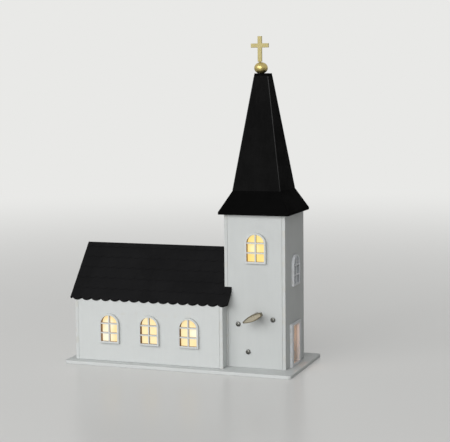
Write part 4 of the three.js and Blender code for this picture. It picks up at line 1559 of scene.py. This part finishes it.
@dataclass
class Spire:
    """Skirt, shingled spire, cap, ball and cross, in millimetres."""

    z0: float = 187.2
    z1: float = 304.52
    bottom: float = 25.9
    top: float = 7.2
    top_z: float = 307.4
    bottom_z: float = 187.1
    gap: float = 0.1
    rows: int = 9
    steps: int = 10
    skirt_softness: float = 0.3
    cap_softness: float = 0.25
    bead: float = 0.38
    bead_inset: float = 0.25
    bead_tip: tuple = (0.45, 0.2)
    ball_radius: float = 7.1
    ball_height: float = 11.4
    ball_seat: float = 0.7
    pin: float = 1.1
    pin_length: float = 8.0
    cross_post: float = 4.5
    cross_arm: float = 4.3
    cross_drop: float = 7.4
    cross_thick: float = 2.0
    tang: float = 4.5
    pattern: Shingles = field(default_factory=lambda: Shingles(columns=6, relief=0.12))

    def build(self, sheet: ShingleSheet, finishes: Wardrobe) -> None:
        """Make the tower's whole top.

        Args:
            sheet: The tree that carves the shingles.
            finishes: The church's finishes.
        """
        self._panels(sheet, finishes, centre_of("tower_deck").x)
        for side in ("front", "right", "back", "left"):
            node = f"skirt_{side}"
            panel = softened_copy(node, node + "_board", self.skirt_softness * MM)
            dressed(panel, Body.CHURCH, Slot.BLACK, [node], finishes.skirt)
        cap = softened_copy("spire_cap", "spire_cap_block", self.cap_softness * MM)
        dressed(cap, Body.CHURCH, Slot.BLACK, ["spire_cap"], finishes.skirt)
        self._corner_joint_highlights(finishes)
        self._ball(finishes)
        self._cross(finishes)

    def _corner_joint_highlights(self, finishes: Wardrobe) -> None:
        """Thin grey lines along the four mitred corners: partly the joints, partly a painted highlight where
        the corners catch the light.

        Args:
            finishes: The church's finishes.
        """
        axis, radius = centre_of("tower_deck").x / MM, self.bead
        wider, shorter = self.bead_tip
        corners = ((self.bottom, self.z0), (self.top + wider, self.z1 - shorter))
        ends = [((half - self.bead_inset) * math.sqrt(2), z) for half, z in corners]
        parts = []
        for turn in range(4):
            a = math.radians(45 + 90 * turn)
            foot, tip = (Vector((axis + r * math.cos(a), r * math.sin(a), z)) * MM for r, z in ends)
            along = (tip - foot).to_track_quat("Z", "Y").to_matrix().to_4x4()
            long = (tip - foot).length / MM
            profile = [(0.0, 0.0), (radius, 0.0), (radius, long - 0.5), (0.1, long), (0.0, long)]
            parts.append(spun(f"bead_{turn}", metres(profile), 12, Matrix.Translation(foot) @ along))
        dressed(joined("spire_corner_filler", parts), Body.CHURCH, Slot.BLACK, [], finishes.joint_highlight)

    def _panels(self, sheet: ShingleSheet, finishes: Wardrobe, axis: float) -> None:
        """Four shingled panels.

        Args:
            sheet: The tree that carves the shingles.
            finishes: The church's finishes.
            axis: The spire's axis along X, in metres.
        """
        lean = math.atan2(self.bottom - self.top, self.top_z - self.bottom_z)
        apex = self.bottom_z + self.bottom * (self.top_z - self.bottom_z) / (self.bottom - self.top)
        tip = (apex - self.z0) / math.cos(lean)
        depth = (self.z1 - self.z0) / math.cos(lean)
        for i, side in enumerate(("front", "right", "back", "left")):
            turn = Matrix.Rotation(i * math.pi / 2, 4, "Z")
            down = Vector((0, -math.sin(lean), -math.cos(lean)))
            out = Vector((0, -math.cos(lean), math.sin(lean)))
            upper = Vector((0, 0, apex * MM)) + down * (tip - depth) * MM
            stand = Matrix.Translation((axis, 0, 0)) @ turn
            place = stand @ slope_matrix(down, out, upper)
            far = 60.0
            wedge = [(0.0, -self.gap), (-far, -far - self.gap), (far, -far - self.gap)]
            trim = prism("spire_trim", metres(wedge), self.z0 * MM, self.z1 * MM)
            trim.matrix_world = stand
            sizes = self.pattern.sizes(depth + self.pattern.sag, self.rows, self.steps)
            obj = sheet.build(f"spire_{side}_shingles", place, trim, finishes.spire, sizes)
            dressed(obj, Body.CHURCH, Slot.BLACK, [f"spire_{side}"])

    def _ball(self, finishes: Wardrobe) -> None:
        """Flattened gold ball with the pin that holds it.

        Args:
            finishes: The church's finishes.
        """
        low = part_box("spire_ball")[0].z / MM
        half = (self.ball_height + self.ball_seat) / 2
        foot = low + self.pin_length
        middle = foot + self.ball_height - half
        start = math.asin((foot - middle) / half)
        profile = [(0.0, low), (self.pin, low), (self.pin, foot)]
        profile += dome(self.ball_radius, half, middle, start, 40)
        axis = Matrix.Translation((centre_of("spire_ball").x, 0, 0))
        ball = spun("gold_ball", metres(profile), 64, axis)
        dressed(ball, Body.CHURCH, Slot.GOLD, ["spire_ball"], finishes.gold)

    def _cross(self, finishes: Wardrobe) -> None:
        """Flat gold cross with eased edges, on a thin round tang that goes into the ball.

        Args:
            finishes: The church's finishes.
        """
        low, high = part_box("spire_cross")
        axis = (low.x + high.x) / 2
        foot, top = low.z + self.tang * MM, high.z
        post, span = self.cross_post / 2 * MM, (high.x - low.x) / 2
        arm1 = top - self.cross_drop * MM
        arm0 = arm1 - self.cross_arm * MM
        points = [(-post, foot), (post, foot), (post, arm0), (span, arm0), (span, arm1), (post, arm1),
                  (post, top), (-post, top), (-post, arm1), (-span, arm1), (-span, arm0), (-post, arm0)]
        thick = self.cross_thick * MM
        stand = Facing.FRONT.matrix((0, thick / 2, 0))
        flat = board_mesh("cross_board", moved(points, axis, 0.0), [], thick, 0.3 * MM, stand)
        pin = self.pin * MM
        profile = [(0.0, low.z), (pin, low.z), (pin, foot + MM), (0.0, foot + MM)]
        tang = spun("cross_tang", profile, 24, Matrix.Translation((axis, 0, 0)))
        cross = joined("gold_cross", [flat, tang])
        dressed(cross, Body.CHURCH, Slot.GOLD, ["spire_cross"], finishes.gold_cross)


@dataclass
class WindingKey:
    """Winding key: a leaf-shaped grip with a dished front, on a round hub, in millimetres."""

    tilt: float = 26.0
    length: float = 21.6
    thick: float = 6.6
    tip_share: float = 0.12
    offset: float = -1.3
    depth: float = 5.5
    rim: float = 0.9
    dish: float = 1.2
    hub: float = 3.5
    collar: float = 0.4
    front: float = 50.0
    back: float = 35.2
    bore: float = 1.7

    def leaf(self, inset: float, steps: int = 40) -> Outline:
        """The grip's outline: pointed at the left, blunt at the right.

        Args:
            inset: How far inside the edge, in millimetres.
            steps: Steps along one side.

        Returns:
            The outline, in metres.
        """
        half, t = self.length / 2 - inset, self.thick / 2 - inset
        lower = []
        for i in range(steps + 1):
            u = i / steps
            swell = self.tip_share + (1 - self.tip_share) * math.sin(math.pi * (0.05 + 0.8 * u))
            lower.append((half * (2 * u - 1), -swell * t))
        points = lower + [(x, -y) for x, y in reversed(lower)]
        return metres(moved(points, self.offset, 0.0))

    def build(self, finishes: Wardrobe) -> None:
        """Make the key in place of its node.

        Args:
            finishes: The church's finishes.
        """
        middle = centre_of("winding_arbor")
        wall = Facing.FRONT.matrix((middle.x, -self.back * MM, middle.z))
        stand = wall @ Matrix.Rotation(math.radians(self.tilt), 4, "Z")
        long = self.front - self.back
        seat = stand @ Matrix.Translation((0, 0, (long - self.depth) * MM))
        plate = board_mesh("key_plate", self.leaf(self.rim / 2), [circle(self.bore * MM)],
                           (self.depth - self.dish) * MM, 0.1 * MM, seat)
        edge = board_mesh("key_edge", self.leaf(0.0), [self.leaf(self.rim)], self.depth * MM, 0.35 * MM, seat)
        chamfer, top = 0.3, long - self.dish - self.collar
        tube = [(self.bore, 0), (self.hub - chamfer, 0), (self.hub, chamfer), (self.hub, top - chamfer),
                (self.hub - chamfer, top), (self.bore, top)]
        hub = spun_ring("key_hub", metres(tube), 48, stand)
        # Painted light and reflection: the pale copy of nickel on the plate, the dark copy on the rim and hub
        finished = ((plate, finishes.nickel), (edge, finishes.nickel_edge), (hub, finishes.nickel_edge))
        for piece, finish in finished:
            piece.data.materials.clear()
            piece.data.materials.append(finish)
        key = joined("winding_key_grip", [plate, edge, hub])
        dressed(key, Body.KEY, Slot.KEY, ["winding_key"])


def spun_ring(name: str, profile: Sequence[tuple[float, float]], steps: int,
              matrix: Matrix) -> bpy.types.Object:
    """A closed turned ring from a closed profile of (radius, height) points.

    Args:
        name: The object's name.
        profile: The points, in metres.
        steps: Steps round the axis.
        matrix: Takes the Z axis to where the ring stands.

    Returns:
        A mesh object at the origin.
    """
    bm = bmesh.new()
    loops = []
    for i in range(steps):
        a = 2 * math.pi * i / steps
        loops.append([bm.verts.new((r * math.cos(a), r * math.sin(a), z)) for r, z in profile])
    count = len(profile)
    for i in range(steps):
        here, there = loops[i], loops[(i + 1) % steps]
        for k in range(count):
            n = (k + 1) % count
            bm.faces.new((here[k], there[k], there[n], here[n]))
    bmesh.ops.recalc_face_normals(bm, faces=bm.faces)
    obj = link(name, mesh_from(bm, name))
    obj.data.transform(matrix)
    return obj


@dataclass
class MountingScrews:
    """Domed screws with a cross recess on the tower's front, in millimetres."""

    head: float = 2.6
    height: float = 1.7
    shank: float = 1.3
    slot_half: float = 0.32
    slot_reach: float = 1.6
    slot_depth: float = 1.0
    rim: float = 0.5
    ease: float = 0.2

    def one(self) -> bpy.types.Object:
        """One screw, its head's underside on y = 0 and its head toward -Y.

        Returns:
            The screw.
        """
        low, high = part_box("mounting_screw_1")
        long = (high.y - low.y) / MM - self.height
        profile = [(0.0, -long), (self.shank, -long), (self.shank, 0.0), (self.head - self.ease, 0.0),
                   (self.head, self.ease)]
        profile += dome(self.head, self.height - self.rim, self.rim, 0.0, 12)
        stand = Facing.FRONT.matrix((0, 0, 0))
        screw = spun("screw_body", metres(profile), 48, stand)
        floor = stand @ Matrix.Translation((0, 0, (self.height - self.slot_depth) * MM))
        cross = [(self.slot_half, self.slot_reach), (self.slot_reach, self.slot_half)]
        for i, (w, h) in enumerate(cross):
            outline = metres(rectangle(-w, -h, w, h))
            tool = board_mesh(f"screw_slot_{i}", outline, [], 3 * MM, 0.05 * MM, floor)
            cut = screw.modifiers.new("recess", "BOOLEAN")
            cut.operation, cut.solver, cut.object = "DIFFERENCE", "EXACT", tool
            screw = baked(screw, "screw_body")
            bpy.data.objects.remove(tool)
        return screw

    def build(self, copies: PlacedCopies, finishes: Wardrobe) -> None:
        """Set the three screws.

        Args:
            copies: The tree that sets the copies.
            finishes: The church's finishes.
        """
        spots = []
        for i in (1, 2, 3):
            low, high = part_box(f"mounting_screw_{i}")
            middle = (low + high) / 2
            spots.append((Vector((middle.x, low.y + self.height * MM, middle.z)), 0.0))
        # Painted reflection: the screws take the darkened steel
        screws = copies.build("domed_screws", self.one(), spots, finishes.steel, finishes.steel)
        dressed(screws, Body.CHURCH, Slot.STEEL, [f"mounting_screw_{i}" for i in (1, 2, 3)])


@dataclass
class KeptNodes:
    """CAD nodes whose shape is right: they only get a finish."""

    groups: dict = field(default_factory=lambda: {
        "film": ["nave_front_film", "nave_back_film", "gable_film"],
        "tower_film": ["tower_front_film"],
        "dim_film": ["tower_side_film"],
        "brass": ["movement_bedplate", "spring_barrel", "pinned_cylinder", "governor_frame", "governor_fly"],
        "steel": ["comb", "comb_screw_1", "comb_screw_2"],
        "nickel": ["winding_arbor"],
        "plastic": ["battery_box", "battery_lid", "switch_slider"],
        "sleeve": ["battery_cell_1", "battery_cell_2"],
        "lamps": ["nave_led_board", "tower_led_board"],
        "skirt": ["tower_deck"],
    })

    def build(self, finishes: Wardrobe) -> None:
        """Dress every kept node.

        Args:
            finishes: The church's finishes.
        """
        for finish, names in self.groups.items():
            for name in names:
                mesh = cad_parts[name].data
                mesh.materials.clear()
                mesh.materials.append(getattr(finishes, finish))
                LOG.info("%s keeps its shape", name)


@dataclass
class PhotoCamera:
    """The camera of the photograph, in millimetres and degrees."""

    location: tuple = (490.3, -1241.3, 295.9)
    yaw: float = 20.0
    pitch: float = 6.236
    roll: float = -0.62
    lens: float = 100.32
    shift: tuple = (-0.0012, 0.002)

    def build(self) -> None:
        """Make the camera and set it in the scene."""
        yaw, pitch, roll = (math.radians(a) for a in (self.yaw, self.pitch, self.roll))
        ahead = Vector((-math.sin(yaw) * math.cos(pitch), math.cos(yaw) * math.cos(pitch), -math.sin(pitch)))
        right = Vector((math.cos(yaw), math.sin(yaw), 0.0))
        up = right.cross(ahead)
        across = right * math.cos(roll) + up * math.sin(roll)
        upward = up * math.cos(roll) - right * math.sin(roll)
        data = bpy.data.cameras.new("camera")
        data.lens, data.sensor_width = self.lens, 36.0
        data.shift_x, data.shift_y = self.shift
        data.clip_start, data.clip_end = 0.05, 100.0
        obj = link("camera", data)
        turned = Matrix((across, upward, -ahead)).transposed().to_4x4()
        obj.matrix_world = Matrix.Translation(Vector(self.location) * MM) @ turned
        bpy.context.scene.camera = obj


@dataclass
class Studio:
    """Pale floor, soft lamps and a warm lamp inside the tower."""

    floor_radius: float = 30.0
    sky: float = 0.235
    backdrop: tuple = srgb(233, 233, 231)
    softboxes: tuple = (
        ((-1.2, -2.2, 1.3), 1.8, 25.0),
        ((0.1, -2.6, 1.1), 1.8, 35.5),
    )
    lamps: tuple = (((96, -17, 32), 5.0, 0.018), ((-32, 0, 63), 6.0, 0.05))
    lamp_colour: tuple = (1.0, 0.6, 0.42)
    aim: tuple = (0.02, 0.0, 0.13)

    def build(self) -> None:
        """Make the floor, the world and the lamps."""
        self._floor()
        self._world()
        for i, (place, size, power) in enumerate(self.softboxes):
            data = bpy.data.lights.new(f"softbox_{i}", "AREA")
            data.shape, data.size, data.energy = "SQUARE", size, power
            obj = link(data.name, data)
            obj.location = place
            obj.rotation_euler = (Vector(place) - Vector(self.aim)).to_track_quat("Z", "Y").to_euler()
        for i, (place, size, power) in enumerate(self.lamps):
            data = bpy.data.lights.new(f"inner_lamp_{i}", "POINT")
            data.shadow_soft_size, data.energy, data.color = size * MM, power, self.lamp_colour
            link(data.name, data).location = [c * MM for c in place]

    def _floor(self) -> None:
        """A wide pale floor that melts into the background away from the church."""
        bm = bmesh.new()
        bmesh.ops.create_circle(bm, cap_ends=True, segments=96, radius=self.floor_radius)
        floor = link("floor", mesh_from(bm, "floor"))
        f = Finish("pale_floor")
        cloud = f.nodes.noise(f.place, 3.0, 2.0)
        f.set(Base_Color=f.nodes.blend(cloud, srgb(216, 216, 214), srgb(211, 211, 209)),
              Roughness=0.24, Specular_IOR_Level=0.22)
        away = f.nodes.add("ShaderNodeVectorMath", {0: f.place}, operation="LENGTH")
        fade = f.nodes.remap(away.outputs["Value"], 0.25, 2.2, 0.25, 1.0)
        seen = f.nodes.add("ShaderNodeLightPath").outputs["Is Camera Ray"]
        plain = f.nodes.add("ShaderNodeEmission", {"Color": self.backdrop, "Strength": 1.0})
        both = f.nodes.add("ShaderNodeMixShader", {
            0: f.nodes.math("MULTIPLY", fade, seen), 1: f.shader.outputs[0], 2: plain.outputs[0]})
        f.nodes.put(f.output.inputs["Surface"], both.outputs[0])
        floor.data.materials.append(f.material)

    def _world(self) -> None:
        """Even light from all round, and a pale background for the camera."""
        world = bpy.data.worlds.new("studio")
        bpy.context.scene.world = world
        world.use_nodes = True
        nodes = Nodes(world.node_tree)
        path = nodes.add("ShaderNodeLightPath")
        seen = nodes.math("MAXIMUM", path.outputs["Is Camera Ray"], path.outputs["Is Transmission Ray"])
        seen = nodes.math("MAXIMUM", seen, path.outputs["Is Glossy Ray"])
        strength = nodes.add("ShaderNodeMix", {0: seen, 2: self.sky, 3: 1.0}, data_type="FLOAT")
        colour = nodes.blend(seen, (1.0, 1.0, 1.0, 1.0), self.backdrop)
        background = nodes.add("ShaderNodeBackground", {"Color": colour, "Strength": strength.outputs[0]})
        output = nodes.add("ShaderNodeOutputWorld")
        nodes.put(output.inputs["Surface"], background.outputs[0])


def main() -> None:
    """Build the camera, the studio and every piece of the church."""
    logging.basicConfig(level=logging.INFO, format="%(name)s: %(message)s")
    bpy.context.scene.view_settings.view_transform = "Standard"
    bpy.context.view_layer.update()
    PhotoCamera().build()
    Studio().build()
    finishes = Wardrobe()
    copies, sheet = PlacedCopies(), ShingleSheet()
    walls = Walls()
    builders: list[tuple[str, Callable[[], None]]] = [
        ("kept nodes", lambda: KeptNodes().build(finishes)),
        ("walls", lambda: walls.build(finishes)),
        ("windows", lambda: walls.windows.build(copies, finishes)),
        ("roof", lambda: Roof().build(sheet, finishes)),
        ("spire", lambda: Spire().build(sheet, finishes)),
        ("winding key", lambda: WindingKey().build(finishes)),
        ("screws", lambda: MountingScrews().build(copies, finishes)),
    ]
    for label, build in builders:
        build()
        LOG.info("built %s", label)


if __name__ == "__main__":
    main()
